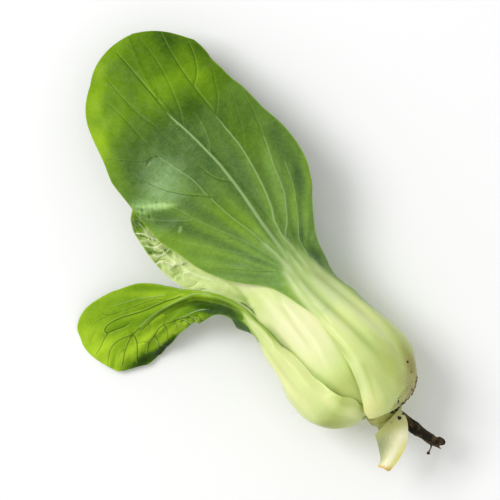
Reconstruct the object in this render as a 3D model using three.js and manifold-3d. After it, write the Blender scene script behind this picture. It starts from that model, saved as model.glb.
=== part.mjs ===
// A whole bok choy (pak choi), pulled and rinsed, lying on its side with its taproot still on.
// Units are millimetres and +Z is up. The plant's axis runs along Y, with the taproot towards -Y
// and the leaf tips towards +Y. The origin is the middle of the small flat that the bulb rests on.
//
// Each leaf is one solid: a fleshy, spoon-shaped petiole that thins into a waved blade. Its outer
// face is swept along a spine that starts at the stem base, and its inner face lies behind it.
import * as THREE from "three";
import { mergeVertices } from "three/addons/utils/BufferGeometryUtils.js";
import Module from "manifold-3d";

const wasm = await Module();
wasm.setup();
const { clamp, degToRad, smoothstep } = THREE.MathUtils;

// ---- Driving dimensions ----------------------------------------------------------------------
// Places below are measured from the root end of the bulb, on the surface that it lies on.
const AXIS_HEIGHT = 25; // of the plant's axis over the surface
const REST_DISTANCE = 27; // from the root end of the bulb to the middle of its resting flat
const BULB_FLATNESS = 0.88; // height of the bulb over its width
const STEM_OFFSET = 3; // of the stem base to the right of the bulb's middle
const STEM_STRAIGHTENING = 8; // distance over which that offset dies away up the bulb
const GAP = 0.3; // clearance kept where neighbouring pieces press together
const ROW_CROWDING = 1.25; // above 1 the rows of a leaf's faces crowd towards its tip
const COLUMN_CROWDING = 1.3; // above 1 their columns crowd towards its midrib
const WELD_DISTANCE = 1e-4; // closer corners than this are one

// Half the bulb's outline, [radius, distance from its root end], from the stem base to the neck.
const BULB_PROFILE = [
  [6.5, 1.4], [13, 0.3], [19.5, 2.6], [25, 8], [28.4, 16.5], [29.2, 25], [27.8, 35], [24.8, 45],
  [21.2, 56],
];

// ---- Curves and solids -----------------------------------------------------------------------
// Smooth values between the rows [position, value, value, ...] of a list, without overshoot.
function track(keys) {
  const last = keys.length - 1;
  const slope = (i, c) => (keys[i + 1][c] - keys[i][c]) / (keys[i + 1][0] - keys[i][0]);
  const tangent = (i, c) => {
    if (i === 0) return slope(0, c);
    if (i === last) return slope(last - 1, c);
    const before = slope(i - 1, c);
    const after = slope(i, c);
    return before * after <= 0 ? 0 : (2 * before * after) / (before + after);
  };
  return (position) => {
    let i = 0;
    while (i < last - 1 && position > keys[i + 1][0]) i += 1;
    const span = keys[i + 1][0] - keys[i][0];
    const x = clamp((position - keys[i][0]) / span, 0, 1);
    const rise = 3 * x ** 2 - 2 * x ** 3;
    const leave = (x ** 3 - 2 * x ** 2 + x) * span;
    const arrive = (x ** 3 - x ** 2) * span;
    return keys[i].slice(1).map((value, n) => {
      const c = n + 1;
      const between = value + (keys[i + 1][c] - value) * rise;
      return between + tangent(i, c) * leave + tangent(i + 1, c) * arrive;
    });
  };
}

function solidOf(geometry) {
  geometry.deleteAttribute("normal");
  geometry.deleteAttribute("uv");
  const merged = mergeVertices(geometry, WELD_DISTANCE);
  return new wasm.Manifold(
    new wasm.Mesh({
      numProp: 3,
      vertProperties: merged.attributes.position.array,
      triVerts: new Uint32Array(merged.index.array),
    }),
  );
}

function geometryOf(solid) {
  const mesh = solid.getMesh();
  const geometry = new THREE.BufferGeometry();
  geometry.setAttribute("position", new THREE.BufferAttribute(mesh.vertProperties, 3));
  geometry.setIndex(new THREE.BufferAttribute(mesh.triVerts, 1));
  geometry.computeVertexNormals();
  return geometry;
}

function indexedGeometry(positions, indices) {
  const geometry = new THREE.BufferGeometry();
  geometry.setAttribute("position", new THREE.Float32BufferAttribute(positions, 3));
  geometry.setIndex(indices);
  return geometry;
}

// A cut can leave crumbs, so only the largest body is kept.
function largestBody(solid) {
  return solid.decompose().reduce((best, body) => (body.volume() > best.volume() ? body : best));
}

// A closed sheet between two faces. place(u, s, face) gives its points: u runs 0 to 1 along it,
// s -1 to 1 across it, and face is 0 outside and 1 inside. Both faces are split into triangles
// alike, so that they never cross.
function sheet(rows, columns, place) {
  const positions = [];
  for (let face = 0; face < 2; face += 1) {
    for (let i = 0; i <= rows; i += 1) {
      for (let j = 0; j <= columns; j += 1) {
        positions.push(...place(i / rows, (2 * j) / columns - 1, face).toArray());
      }
    }
  }
  const at = (face, i, j) => (face * (rows + 1) + i) * (columns + 1) + j;
  const indices = [];
  const quad = (a, b, c, d) => indices.push(a, b, c, a, c, d);
  for (let i = 0; i < rows; i += 1) {
    for (let j = 0; j < columns; j += 1) {
      quad(at(0, i, j), at(0, i, j + 1), at(0, i + 1, j + 1), at(0, i + 1, j));
      quad(at(1, i + 1, j + 1), at(1, i, j + 1), at(1, i, j), at(1, i + 1, j));
    }
    quad(at(0, i, 0), at(0, i + 1, 0), at(1, i + 1, 0), at(1, i, 0));
    quad(at(0, i, columns), at(1, i, columns), at(1, i + 1, columns), at(0, i + 1, columns));
  }
  for (let j = 0; j < columns; j += 1) {
    quad(at(0, 0, j), at(1, 0, j), at(1, 0, j + 1), at(0, 0, j + 1));
    quad(at(0, rows, j), at(0, rows, j + 1), at(1, rows, j + 1), at(1, rows, j));
  }
  return solidOf(indexedGeometry(positions, indices));
}

// A closed limb of round section through rows [x, y, z, radius].
function limb(rows, sides, steps) {
  const path = new THREE.CatmullRomCurve3(rows.map(([x, y, z]) => new THREE.Vector3(x, y, z)));
  const frames = path.computeFrenetFrames(steps, false);
  const radius = track(rows.map((row, i) => [i / (rows.length - 1), row[3]]));
  const positions = [];
  for (let i = 0; i <= steps; i += 1) {
    const centre = path.getPoint(i / steps);
    const [size] = radius(i / steps);
    for (let j = 0; j < sides; j += 1) {
      const angle = (2 * Math.PI * j) / sides;
      const rim = centre.clone().addScaledVector(frames.normals[i], size * Math.cos(angle));
      positions.push(...rim.addScaledVector(frames.binormals[i], size * Math.sin(angle)).toArray());
    }
  }
  const indices = [];
  for (let i = 0; i < steps; i += 1) {
    for (let j = 0; j < sides; j += 1) {
      const a = i * sides + j;
      const b = i * sides + ((j + 1) % sides);
      indices.push(a, b, b + sides, a, b + sides, a + sides);
    }
  }
  const end = steps * sides;
  for (let j = 1; j < sides - 1; j += 1) {
    indices.push(0, j + 1, j, end, end + j, end + j + 1);
  }
  return solidOf(indexedGeometry(positions, indices));
}

// ---- The form of a leaf ----------------------------------------------------------------------
// Spine rows [x, y, z, outward x, y, z] up the bulb, at an azimuth that turns from +Z towards +X.
// inset is how far the leaf lies inside the bulb's surface, lift how far it starts from the root
// end, and rows how much of the profile it follows.
function petioleSpine({ azimuth, inset, lift, rows }) {
  const outline = new THREE.CatmullRomCurve3(
    BULB_PROFILE.map(([radius, distance]) => new THREE.Vector3(radius, distance, 0)),
  );
  const turn = degToRad(azimuth);
  return BULB_PROFILE.slice(0, rows).map((_, i) => {
    const u = i / (BULB_PROFILE.length - 1);
    const point = outline.getPoint(u);
    const along = outline.getTangent(u);
    const radius = point.x - along.y * inset;
    const distance = point.y + along.x * inset + lift;
    const shift = STEM_OFFSET * Math.exp(-Math.max(distance, 0) / STEM_STRAIGHTENING);
    return [
      shift + radius * Math.sin(turn),
      distance,
      AXIS_HEIGHT + radius * Math.cos(turn) * BULB_FLATNESS,
      along.y * Math.sin(turn),
      -along.x,
      along.y * Math.cos(turn),
    ];
  });
}

// Waves of a blade, in mm at its margins, with smaller and shorter ones on them. share is how far
// up the leaf a place lies.
const WAVES_START = 0.4; // share of the length where they begin
const WAVES_FULL = 0.62; // share of the length where they are fully grown
const SHORT_WAVE_SIZE = 0.4; // over a long one's
const SHORT_WAVE_RATE = 2.3; // short waves to a long one
const ripple = (size, pitch, leftPhase, rightPhase) => (distance, share, s) => {
  const grown = smoothstep(share, WAVES_START, WAVES_FULL);
  const phase = s < 0 ? leftPhase : rightPhase;
  const run = (2 * Math.PI * distance) / pitch;
  const short = Math.sin(SHORT_WAVE_RATE * run + 2 * phase);
  return size * grown * (Math.sin(run + phase) + SHORT_WAVE_SIZE * short) * s * s;
};

// Returns point(t, s, face, grow): t runs 0 to 1 up the leaf, s -1 to 1 from its left margin to
// its right one as seen from outside, and grow fattens it on all sides but its two ends.
function leafForm(leaf) {
  const spineRows = [...petioleSpine(leaf.petiole), ...leaf.blade];
  let length = 0;
  const spine = track(spineRows.map((row, i) => {
    if (i) length += Math.hypot(...[0, 1, 2].map((c) => row[c] - spineRows[i - 1][c]));
    return [length, ...row];
  }));
  const width = track(leaf.width);
  const curl = track(leaf.curl);
  const flesh = track(leaf.flesh);
  const channel = track(leaf.channel ?? [[0, 0], [1, 0]]);
  const spinePoint = (distance) => new THREE.Vector3(...spine(clamp(distance, 0, length)));

  return (t, s, face, grow = 0) => {
    const distance = t * length;
    const ahead = spinePoint(distance + SPINE_STEP);
    const forward = ahead.sub(spinePoint(distance - SPINE_STEP)).normalize();
    const outward = new THREE.Vector3(...spine(distance).slice(3));
    outward.addScaledVector(forward, -outward.dot(forward)).normalize();
    const right = new THREE.Vector3().crossVectors(forward, outward);

    // Across the leaf its face follows an arc, which closes to a rounded tip at the end.
    const half = s < 0 ? 0 : 1;
    const tipShare = Math.max(0, (t - TIP_START) / (1 - TIP_START));
    const rounding = Math.sqrt(Math.max(1 - tipShare ** TIP_ROUNDNESS, BLUNT_TIP));
    const reach = width(distance)[half] * rounding + grow;
    const across = s * reach;
    const bend = degToRad(curl(distance)[half] + LEAST_CURL) / reach;
    const normal = outward.clone().multiplyScalar(Math.cos(across * bend));
    normal.addScaledVector(right, Math.sin(across * bend));

    // The fleshy middle carries low lengthwise ridges, and a channel may run left of the midrib.
    const [fleshHalf, fleshDepth, rib, ridge] = flesh(distance);
    const crown = Math.max(0, 1 - (across / fleshHalf) ** 2) ** FLESH_ROUNDNESS;
    const ridges = ridge * crown * Math.cos((across / fleshHalf) * RIDGES * Math.PI);
    const hollow = channel(distance)[0] * Math.sin(Math.PI * clamp(-across / CHANNEL_WIDTH, 0, 1));
    const outside = rib * crown + ridges + grow;
    const inside = -leaf.edge - fleshDepth * crown - grow;
    return spinePoint(distance)
      .addScaledVector(right, Math.sin(across * bend) / bend)
      .addScaledVector(outward, (Math.cos(across * bend) - 1) / bend)
      .addScaledVector(normal, (face ? inside : outside) - hollow + leaf.wave(distance, t, s));
  };
}

function leafSolid(leaf, grow = 0) {
  const form = leafForm(leaf);
  const [rows, columns] = leaf.mesh;
  return sheet(rows, columns, (u, share, face) => {
    const t = 1 - (1 - u) ** ROW_CROWDING;
    const s = Math.sign(share) * Math.abs(share) ** COLUMN_CROWDING;
    return form(t, s, face, grow);
  });
}

// ---- The leaves ------------------------------------------------------------------------------
// All lists but blade are keyed by the distance up the leaf:
//   blade    [x, y, z, outward x, y, z]
//   width    [distance, left half, right half], measured along the face
//   curl     [distance, turn of the left half, of the right half], in degrees
//   flesh    [distance, half-width of the fleshy middle, its depth inwards, rib outwards, ridges]
//   channel  [distance, depth], beside the midrib
const TIP_START = 0.86; // share of the length where the blade starts to close
const TIP_ROUNDNESS = 2.4; // 2 closes it as half an ellipse, and more makes it blunter
const BLUNT_TIP = 0.003; // keeps the last row from shrinking to a point
const FLESH_ROUNDNESS = 0.8; // below 1 the flesh is fuller at its sides
const RIDGES = 3; // ridges from one side of the flesh to the other
const CHANNEL_WIDTH = 8;
const LEAST_CURL = 0.01; // degrees, so that a flat face still lies on an arc
const SPINE_STEP = 0.5; // to each side of a place, for the spine's direction there

const RIGHT_LEAF = {
  petiole: { azimuth: 38, inset: 0, lift: 0, rows: 9 },
  blade: [
    [8.8, 68, 40.8, 0.42, 0, 0.9], [5.6, 83, 38.8, 0.16, 0, 0.98], [3.6, 100, 38.8, 0, 0, 1],
    [2.6, 122, 39.2, 0, 0, 1], [0.2, 140, 38.2, 0, 0, 1], [-3.6, 158, 35.6, 0, 0, 1],
    [-5.4, 176, 31.5, 0, 0, 1], [-3.6, 191, 27, 0, 0, 1], [-1.4, 202.5, 22.8, 0, 0, 1],
  ],
  width: [
    [0, 16, 7.5], [14, 21.5, 15], [36, 18.8, 27], [60, 15, 22], [73, 13, 18.5], [82, 13.5, 15.8],
    [91, 15.5, 15.8], [101, 24, 19.8], [109, 31, 24.4], [118, 36.5, 29.6], [138, 42, 34], [158, 42.5, 32.5],
    [172, 40, 31.6], [183, 36, 31], [200, 30.8, 32], [220, 25, 33],
  ],
  curl: [
    [0, 26, 20], [14, 44, 40], [36, 38, 54], [60, 38, 58], [84, 40, 50], [105, 24, 26], [140, 18, 22],
    [220, 14, 26],
  ],
  flesh: [
    [0, 9, 4.5, 0, 0], [20, 19.5, 6, 0, 0.3], [45, 20, 6.2, 0, 0.5], [75, 15, 4.6, 0.2, 0.5],
    [90, 9, 2.6, 0.6, 0.3], [110, 4, 0.5, 1.4, 0], [160, 1.8, 0, 0.9, 0], [220, 0.9, 0, 0.3, 0],
  ],
  edge: 0.8,
  wave: ripple(1.1, 44, 0.4, 2.2),
  mesh: [38, 14],
};

const LEFT_LEAF = {
  petiole: { azimuth: -68, inset: -0.9, lift: 4.9, rows: 7 },
  blade: [
    [-26.8, 50, 34.5, -0.9, 0, 0.45], [-25, 60, 34, -0.75, 0, 0.65], [-25, 68, 33.8, -0.55, 0, 0.8],
    [-26.8, 77, 33, -0.35, -0.1, 0.93], [-32, 84.8, 31.8, -0.15, -0.15, 0.97],
    [-39, 90, 29.2, 0, -0.2, 0.98], [-48, 92.8, 24.8, 0, -0.15, 0.98], [-58, 93.2, 19.4, 0, -0.1, 1],
    [-67, 92.3, 14.4, 0, 0, 1], [-75.5, 89.5, 9.8, -0.1, 0, 1], [-82, 85.3, 6.4, -0.2, 0, 1],
    [-87, 80.5, 4, -0.2, 0, 1],
  ],
  width: [
    [0, 7, 12], [7, 11, 19], [14, 15, 23], [27, 19, 24], [40, 19, 22], [50, 16, 17.5], [64, 7, 9.5],
    [72, 5, 5], [80, 11, 2.4], [87, 8, 1.8], [98, 10, 1.8], [107, 13.5, 2.6], [113, 15, 4.6],
    [120, 16, 10.5], [128, 17, 15.5], [138, 18, 19.5], [148, 17, 23.5], [157, 14, 25], [166, 10, 22],
  ],
  curl: [
    [0, 20, 30], [14, 40, 50], [32, 42, 48], [60, 50, 46], [80, 45, 35], [110, 45, 10], [130, 50, 16],
    [150, 55, 22], [170, 40, 20],
  ],
  flesh: [
    [0, 9, 4.5, 0, 0], [20, 20, 5.8, 0, 0.2], [45, 20, 6, 0, 0.35], [64, 9, 4.5, 0, 0.2],
    [80, 6, 2.8, 0, 0], [100, 4.5, 2, 0.2, 0], [140, 2.5, 0.8, 0.2, 0], [170, 1.2, 0, 0.1, 0],
  ],
  channel: [[0, 0], [70, 0], [84, 1.6], [98, 3.2], [112, 2.6], [128, 1], [142, 0.2], [170, 0]],
  edge: 0.8,
  wave: ripple(0.9, 26, 0.9, 2.6),
  mesh: [38, 14],
};

const MIDDLE_LEAF = {
  petiole: { azimuth: -17, inset: 2.8, lift: 2, rows: 8 },
  blade: [
    [-8.5, 62, 39.8, -0.25, 0, 1], [-10.5, 72, 36.6, -0.2, 0, 1], [-13.5, 84, 32.5, -0.15, 0, 1],
    [-16.5, 98, 30.5, -0.1, 0, 1], [-18.5, 114, 29, 0, 0, 1], [-18.5, 132, 27.5, 0, 0, 1],
    [-17, 149, 25, 0, 0, 1], [-15.5, 162, 22, 0, 0, 1], [-14.5, 171, 19.5, 0, 0, 1],
  ],
  width: [
    [0, 7, 7], [16, 13, 12], [36, 16, 12.5], [55, 17.5, 12.5], [68, 17, 10], [78, 14.5, 9],
    [90, 17, 13], [98, 20.2, 17], [108, 24.8, 21], [124, 28, 24], [136, 28, 24], [142, 26.5, 23],
    [147, 22, 22], [164, 18, 19], [178, 14, 15],
  ],
  curl: [[0, 20, 20], [16, 46, 58], [36, 50, 64], [60, 44, 58], [86, 22, 32], [126, 12, 18], [186, 14, 20]],
  flesh: [
    [0, 8, 4, 0, 0], [22, 13, 4.6, 0, 0.1], [50, 13, 4.6, 0, 0.2], [70, 10, 3.6, 0.2, 0.2],
    [86, 6, 2, 0.6, 0], [106, 3, 0.4, 1.1, 0], [146, 1.6, 0, 0.7, 0], [186, 0.9, 0, 0.3, 0],
  ],
  edge: 0.8,
  wave: ripple(1, 32, 0.3, 5.3),
  mesh: [30, 12],
};

const BACK_LEAF = {
  petiole: { azimuth: 172, inset: 0, lift: 1, rows: 9 },
  blade: [
    [1.5, 68, 8.6, 0, 0, -1], [1.5, 82, 9.2, 0, 0, -1], [1.5, 97, 8.2, 0, 0, -1], [1, 114, 6, 0, 0, -1],
    [0, 131, 3.2, 0, 0, -1], [-0.5, 146, 0.8, 0, 0, -1], [-0.5, 157, 0, 0, 0, -1],
  ],
  width: [
    [0, 7, 7], [14, 17, 17], [36, 29, 29], [60, 21, 21], [75, 13, 13], [88, 12, 12], [102, 20, 20],
    [120, 26, 26], [140, 27, 27], [160, 24, 24], [178, 18, 18],
  ],
  curl: [[0, 20, 20], [36, 56, 56], [60, 56, 56], [84, 36, 36], [110, 18, 20], [180, 12, 16]],
  flesh: [
    [0, 9, 4.5, 0, 0], [20, 24, 6.2, 0, 0.15], [45, 26, 6.4, 0, 0.3], [75, 14, 4.4, 0.2, 0.3],
    [90, 8, 2.4, 0.5, 0.1], [110, 3.6, 0.4, 1.1, 0], [150, 1.8, 0, 0.7, 0], [180, 0.9, 0, 0.3, 0],
  ],
  edge: 0.8,
  wave: ripple(0.8, 36, 0.2, 1.4),
  mesh: [28, 12],
};

const INNER_RIGHT_LEAF = {
  petiole: { azimuth: 100, inset: 8, lift: 0, rows: 8 },
  blade: [
    [16, 64, 22.5, 1, 0, -0.1], [14, 75, 22.5, 1, 0, -0.2], [14, 88, 21.5, 1, 0, -0.2],
    [16, 102, 20, 1, 0, -0.2], [17.5, 115, 18, 1, 0, -0.1], [17.5, 124, 16, 1, 0, -0.1],
  ],
  width: [
    [0, 6, 6], [14, 11, 11], [32, 12.5, 12.5], [50, 10, 10], [66, 7, 7], [78, 9, 9], [94, 12, 12],
    [110, 13, 12], [126, 11, 10], [140, 8, 8],
  ],
  curl: [[0, 20, 20], [32, 42, 42], [60, 44, 44], [90, 46, 46], [140, 36, 36]],
  flesh: [
    [0, 7, 3.6, 0, 0], [20, 13, 4.4, 0, 0.1], [45, 13, 4.2, 0, 0.2], [66, 7, 2.6, 0.2, 0.1],
    [84, 3.5, 0.6, 0.9, 0], [110, 1.8, 0, 0.7, 0], [140, 0.9, 0, 0.3, 0],
  ],
  edge: 0.8,
  wave: ripple(0.7, 28, 0.8, 1.9),
  mesh: [22, 8],
};

const INNER_LEFT_LEAF = {
  ...INNER_RIGHT_LEAF,
  petiole: { azimuth: -118, inset: 9, lift: 0, rows: 8 },
  blade: [
    [-13.5, 64, 18.5, -0.9, 0, -0.4], [-11.5, 75, 19.5, -0.9, 0, -0.4], [-11.5, 88, 19, -0.9, 0, -0.4],
    [-13, 101, 17.5, -0.9, 0, -0.4], [-14.5, 113, 15.5, -0.9, 0, -0.3], [-15, 121, 14, -0.9, 0, -0.3],
  ],
  wave: ripple(0.7, 25, 2.1, 0.4),
};

const UPPER_HEART_LEAF = {
  petiole: { azimuth: 40, inset: 15, lift: 0, rows: 8 },
  blade: [
    [4.5, 62, 29, 0.4, 0, 0.9], [3, 72, 28.5, 0.3, 0, 0.95], [1.5, 82, 27.5, 0.2, 0, 1],
    [0.5, 92, 26, 0.1, 0, 1], [0, 100, 24.5, 0, 0, 1],
  ],
  width: [
    [0, 4, 4], [14, 7, 7], [32, 8, 8], [50, 6, 6], [62, 5, 5], [76, 9, 9], [90, 11, 11], [102, 9, 9],
    [116, 6, 6],
  ],
  curl: [[0, 20, 20], [32, 40, 40], [60, 44, 44], [90, 44, 44], [116, 30, 30]],
  flesh: [
    [0, 5, 2.6, 0, 0], [20, 8, 3, 0, 0], [45, 8, 2.8, 0, 0], [62, 4.5, 1.8, 0.2, 0], [80, 2, 0.2, 0.7, 0],
    [116, 0.8, 0, 0.3, 0],
  ],
  edge: 0.8,
  wave: ripple(0.5, 20, 0.5, 1.5),
  mesh: [18, 6],
};

const LOWER_HEART_LEAF = {
  ...UPPER_HEART_LEAF,
  petiole: { azimuth: 205, inset: 15, lift: 0, rows: 8 },
  blade: [
    [-2.5, 60, 19.5, -0.4, 0, -0.9], [-2, 68, 20, -0.3, 0, -0.95], [-1.5, 76, 20, -0.2, 0, -1],
    [-1, 84, 19, -0.1, 0, -1],
  ],
  wave: ripple(0.5, 18, 1.2, 0.2),
};

// ---- The stem base, the taproot and the snapped petiole --------------------------------------
// Half the stem base's outline, [radius, distance from the bulb's root end].
const STEM_PROFILE = [
  [0, -4.4], [3.5, -4.2], [6.4, -3.6], [6.3, -2.2], [8, 0], [8.3, 1.6], [8, 5], [6.8, 8.5],
  [4.5, 11.5], [0, 13],
];
const STEM_SIDES = 24;

function stemBase(grow = 0) {
  const outline = STEM_PROFILE.map(([radius, distance]) => {
    const onAxis = radius === 0;
    const push = onAxis ? [0, Math.sign(distance) * grow] : [grow, 0];
    return new THREE.Vector2(radius + push[0], distance + push[1]);
  });
  const stem = new THREE.LatheGeometry(outline, STEM_SIDES);
  stem.translate(STEM_OFFSET, 0, AXIS_HEIGHT);
  return solidOf(stem);
}

// The taproot is broken off short, with a knob, a rootlet and a spike left at its end.
const TAPROOT = [
  [5.5, -1, 24.2, 3], [7.8, -3.5, 23.9, 2.6], [9.2, -7.5, 23.3, 2.6], [10.3, -11.5, 22.7, 3],
  [12.2, -16, 21.7, 2.4], [13.8, -20, 20.7, 2.5], [14.6, -22.6, 20.1, 1.4],
];
const KNOB = [
  [14.6, -20.6, 20.7, 1.3], [16.4, -22.4, 20.3, 2], [17.4, -23.8, 20, 1.5], [17.9, -24.6, 19.8, 0.7],
];
const ROOTLET = [
  [13, -20.8, 20.7, 0.8], [11.6, -22.7, 20.7, 0.5], [9.9, -23.7, 20.8, 0.5], [9.3, -24, 20.8, 0.95],
  [8.5, -24.3, 20.8, 0.5],
];
const SPIKE = [[13.6, -21.5, 20.3, 1.2], [14.4, -24, 19.9, 0.7], [15, -25.7, 19.7, 0.25]];

// [rows, sides, steps] of each limb.
const LIMBS = [[TAPROOT, 10, 16], [KNOB, 8, 6], [ROOTLET, 6, 8], [SPIKE, 6, 4]];

function taproot() {
  const limbs = LIMBS.map(([rows, sides, steps]) => limb(rows, sides, steps));
  return limbs.reduce((root, branch) => root.add(branch));
}

// What is left of a snapped outer leaf: a thick shell between two edges, crowned across.
const STUB_LEFT_EDGE = [[-6, -4.2], [-7, -7.5], [-8.3, -11.2], [-10, -14.8], [-12.6, -16.8]];
const STUB_RIGHT_EDGE = [[9.3, -0.4], [9.6, -5.5], [7, -11], [3.4, -15.2], [-3.6, -19.4], [-9.8, -21.5]];
const STUB_CROWN = 2.6; // height of its middle over its edges
const STUB_HEIGHT = track([[0, 31.4], [0.25, 31.6], [0.6, 29.5], [1, 26.5]]);
const STUB_THICKNESS = track([[0, 2.2], [0.6, 2], [1, 1.6]]);
const STUB_MESH = [10, 8];

function brokenPetiole() {
  const edges = [STUB_RIGHT_EDGE, STUB_LEFT_EDGE].map((edge) => {
    return new THREE.CatmullRomCurve3(edge.map(([x, y]) => new THREE.Vector3(x, y, 0)));
  });
  return sheet(...STUB_MESH, (u, s, face) => {
    const place = edges[0].getPoint(u).lerp(edges[1].getPoint(u), (s + 1) / 2);
    place.z = STUB_HEIGHT(u)[0] + STUB_CROWN * (1 - s * s) - face * STUB_THICKNESS(u)[0];
    return place;
  });
}

// ---- Fitting the pieces together -------------------------------------------------------------
const LEAVES = {
  leaf_right: RIGHT_LEAF,
  leaf_back: BACK_LEAF,
  leaf_left: LEFT_LEAF,
  leaf_middle: MIDDLE_LEAF,
  leaf_inner_right: INNER_RIGHT_LEAF,
  leaf_inner_left: INNER_LEFT_LEAF,
  heart_leaf_upper: UPPER_HEART_LEAF,
  heart_leaf_lower: LOWER_HEART_LEAF,
};

// [colour, roughness] of each piece.
const FINISH = {
  leaf_right: [0x5f8f3c, 0.5],
  leaf_back: [0x5a8a40, 0.5],
  leaf_left: [0x7fa82a, 0.42],
  leaf_middle: [0xc3d088, 0.5],
  leaf_inner_right: [0x8fb450, 0.5],
  leaf_inner_left: [0x8fb450, 0.5],
  heart_leaf_upper: [0xb4cc66, 0.48],
  heart_leaf_lower: [0xb4cc66, 0.48],
  stem_base: [0x9aa05a, 0.6],
  broken_petiole: [0xd9d8a2, 0.5],
  taproot: [0x33271c, 0.9],
};

// Each leaf gives way to the stem base and to the leaves before it, which lie outside it.
const solids = {};
const fattened = [stemBase(GAP)];
for (const [name, leaf] of Object.entries(LEAVES)) {
  const fitted = fattened.reduce((rest, neighbour) => rest.subtract(neighbour), leafSolid(leaf));
  solids[name] = largestBody(fitted);
  fattened.push(leafSolid(leaf, GAP));
}
solids.stem_base = stemBase();
solids.broken_petiole = largestBody(brokenPetiole().subtract(stemBase(GAP)));
solids.taproot = largestBody(taproot().subtract(stemBase(GAP)));

// Whatever presses on the surface is flat there.
const plant = new THREE.Group();
plant.position.y = -REST_DISTANCE;
for (const [name, solid] of Object.entries(solids)) {
  const [color, roughness] = FINISH[name];
  const mesh = new THREE.Mesh(
    geometryOf(solid.trimByPlane([0, 0, 1], 0)),
    new THREE.MeshStandardMaterial({ color, roughness, metalness: 0 }),
  );
  mesh.name = name;
  plant.add(mesh);
}

export default plant;
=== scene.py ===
"""A finished bok choy: fine leaves with their veins, a barked taproot, soil and a plain studio.

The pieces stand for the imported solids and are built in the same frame, in metres. The lists
below are in millimetres: x across the plant, y from the root end of the bulb towards the leaf
tips, z up from the surface that the plant lies on.
"""

import math

import bpy
import numpy as np
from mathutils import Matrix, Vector, noise


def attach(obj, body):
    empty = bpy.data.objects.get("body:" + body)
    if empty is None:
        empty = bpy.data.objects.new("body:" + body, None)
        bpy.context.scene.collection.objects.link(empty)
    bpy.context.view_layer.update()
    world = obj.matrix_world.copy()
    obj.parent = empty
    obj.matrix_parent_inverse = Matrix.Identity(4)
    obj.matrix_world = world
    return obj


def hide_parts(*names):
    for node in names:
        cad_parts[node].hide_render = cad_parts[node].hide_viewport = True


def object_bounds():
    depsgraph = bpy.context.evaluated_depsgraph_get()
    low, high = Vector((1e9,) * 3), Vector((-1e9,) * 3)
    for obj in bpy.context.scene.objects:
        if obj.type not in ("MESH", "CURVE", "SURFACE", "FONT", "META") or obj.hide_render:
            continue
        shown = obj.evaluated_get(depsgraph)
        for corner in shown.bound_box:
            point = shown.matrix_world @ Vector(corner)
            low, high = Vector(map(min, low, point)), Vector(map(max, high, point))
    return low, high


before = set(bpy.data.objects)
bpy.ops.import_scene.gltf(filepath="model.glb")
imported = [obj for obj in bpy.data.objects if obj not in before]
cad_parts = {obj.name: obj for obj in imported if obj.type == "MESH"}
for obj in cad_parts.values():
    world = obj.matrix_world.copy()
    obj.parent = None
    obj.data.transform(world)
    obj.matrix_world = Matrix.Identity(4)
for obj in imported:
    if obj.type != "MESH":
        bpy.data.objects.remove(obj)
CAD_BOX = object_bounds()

bl_info = {
    "name": "Bok choy",
    "version": (1, 0, 0),
    "blender": (4, 5, 0),
    "location": "View3D > Sidebar > Bok choy",
    "description": "Builds a bok choy lying on its side, with a plain studio round it",
    "category": "Add Mesh",
}

MM = 0.001

# ---- The form of every leaf ---------------------------------------------------------------
# Half the bulb's outline, [radius, distance from its root end], from the stem base to the neck.
BULB_PROFILE = [
    [6.5, 1.4], [13, 0.3], [19.5, 2.6], [25, 8], [28.4, 16.5], [29.2, 25], [27.8, 35], [24.8, 45],
    [21.2, 56],
]
ROOT_SHIFT = 3  # how far the bulb's root end lies to the right of its axis
SHIFT_FADE = 8  # distance up the bulb over which that shift dies away
EDGE = 0.8  # thickness of a blade
TIP_START = 0.86  # share of a leaf's length where its blade starts to close
TIP_ROUNDNESS = 2.4  # the higher, the blunter
BLUNT_TIP = 0.003  # square of the share of its width that it keeps at the tip
CHANNEL_WIDTH = 8  # of the hollow beside the midrib
LEAST_CURL = 0.01  # keeps a flat leaf's arc from having no centre
CROWN_POWER = 0.8  # how the fleshy middle thins towards its sides
RIDGE_COUNT = 3  # ridges across the fleshy middle
WAVE_START, WAVE_FULL = 0.4, 0.62  # shares of the length between which the margin's wave grows
MINOR_WAVE, MINOR_PITCH = 0.4, 2.3  # height and frequency of a second wave, over the first's
ROW_CROWDING = 1.25  # crowds the mesh's rows towards the tip
UV_SPAN = 250  # millimetres that a leaf's UV map takes in
UV_MIDDLE = 50  # where the leaf's middle line lies on it

# Relief of the blade: heights, and the pitch from one swell to the next.
SWELL_HEIGHT, SWELL_PITCH = 0.2, 13
ROUGH_HEIGHT, ROUGH_PITCH = 0.08, 4.5
SCALE_HEIGHT, SCALE_PITCH = 0.24, 2.2
CRINKLE_SWELL, CRINKLE_STRETCH, CRINKLE_WALL = 7, 1.3, 0.22  # pitch, narrowing, width of the walls
# The folds' height, and the painted light and shade on their slopes.
FOLD_HEIGHT, FOLD_LIGHT_AND_SHADE = 0.2, 0.07
PITCH_SPREAD = (0.7, 1.5)  # least and most pitch of a wave in a random field, over the field's own
FOLD_RATES = (12, 46)  # least and most waves of a fold in a full turn
FOLD_START, FOLD_END = (8, 24), (45, 95)  # where the folds grow and die away, from the fan's point
RIBBING = 0.8  # height of a streak whose relief is 1
PUFF_REACH = 2.2  # how far from a vein the puff is felt
MARGIN_REACH = 1.5  # width of the margin that stays smooth
BASE_TUCK, BASE_TUCK_REACH = 1, 4  # how far a leaf's base is tucked in, and over what length
ROLL_START, ROLL_GROWS, ROLL_ENDS = 0.72, 20, 24  # share of the half-width, and lengths of its ends
FADE_MIDDLE, FADE_SLOPE = -4, 0.87  # veins fade lower down towards the sides of the blade
PATCH_EDGE = 1.8  # how clear the edge of a patch is

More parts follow.
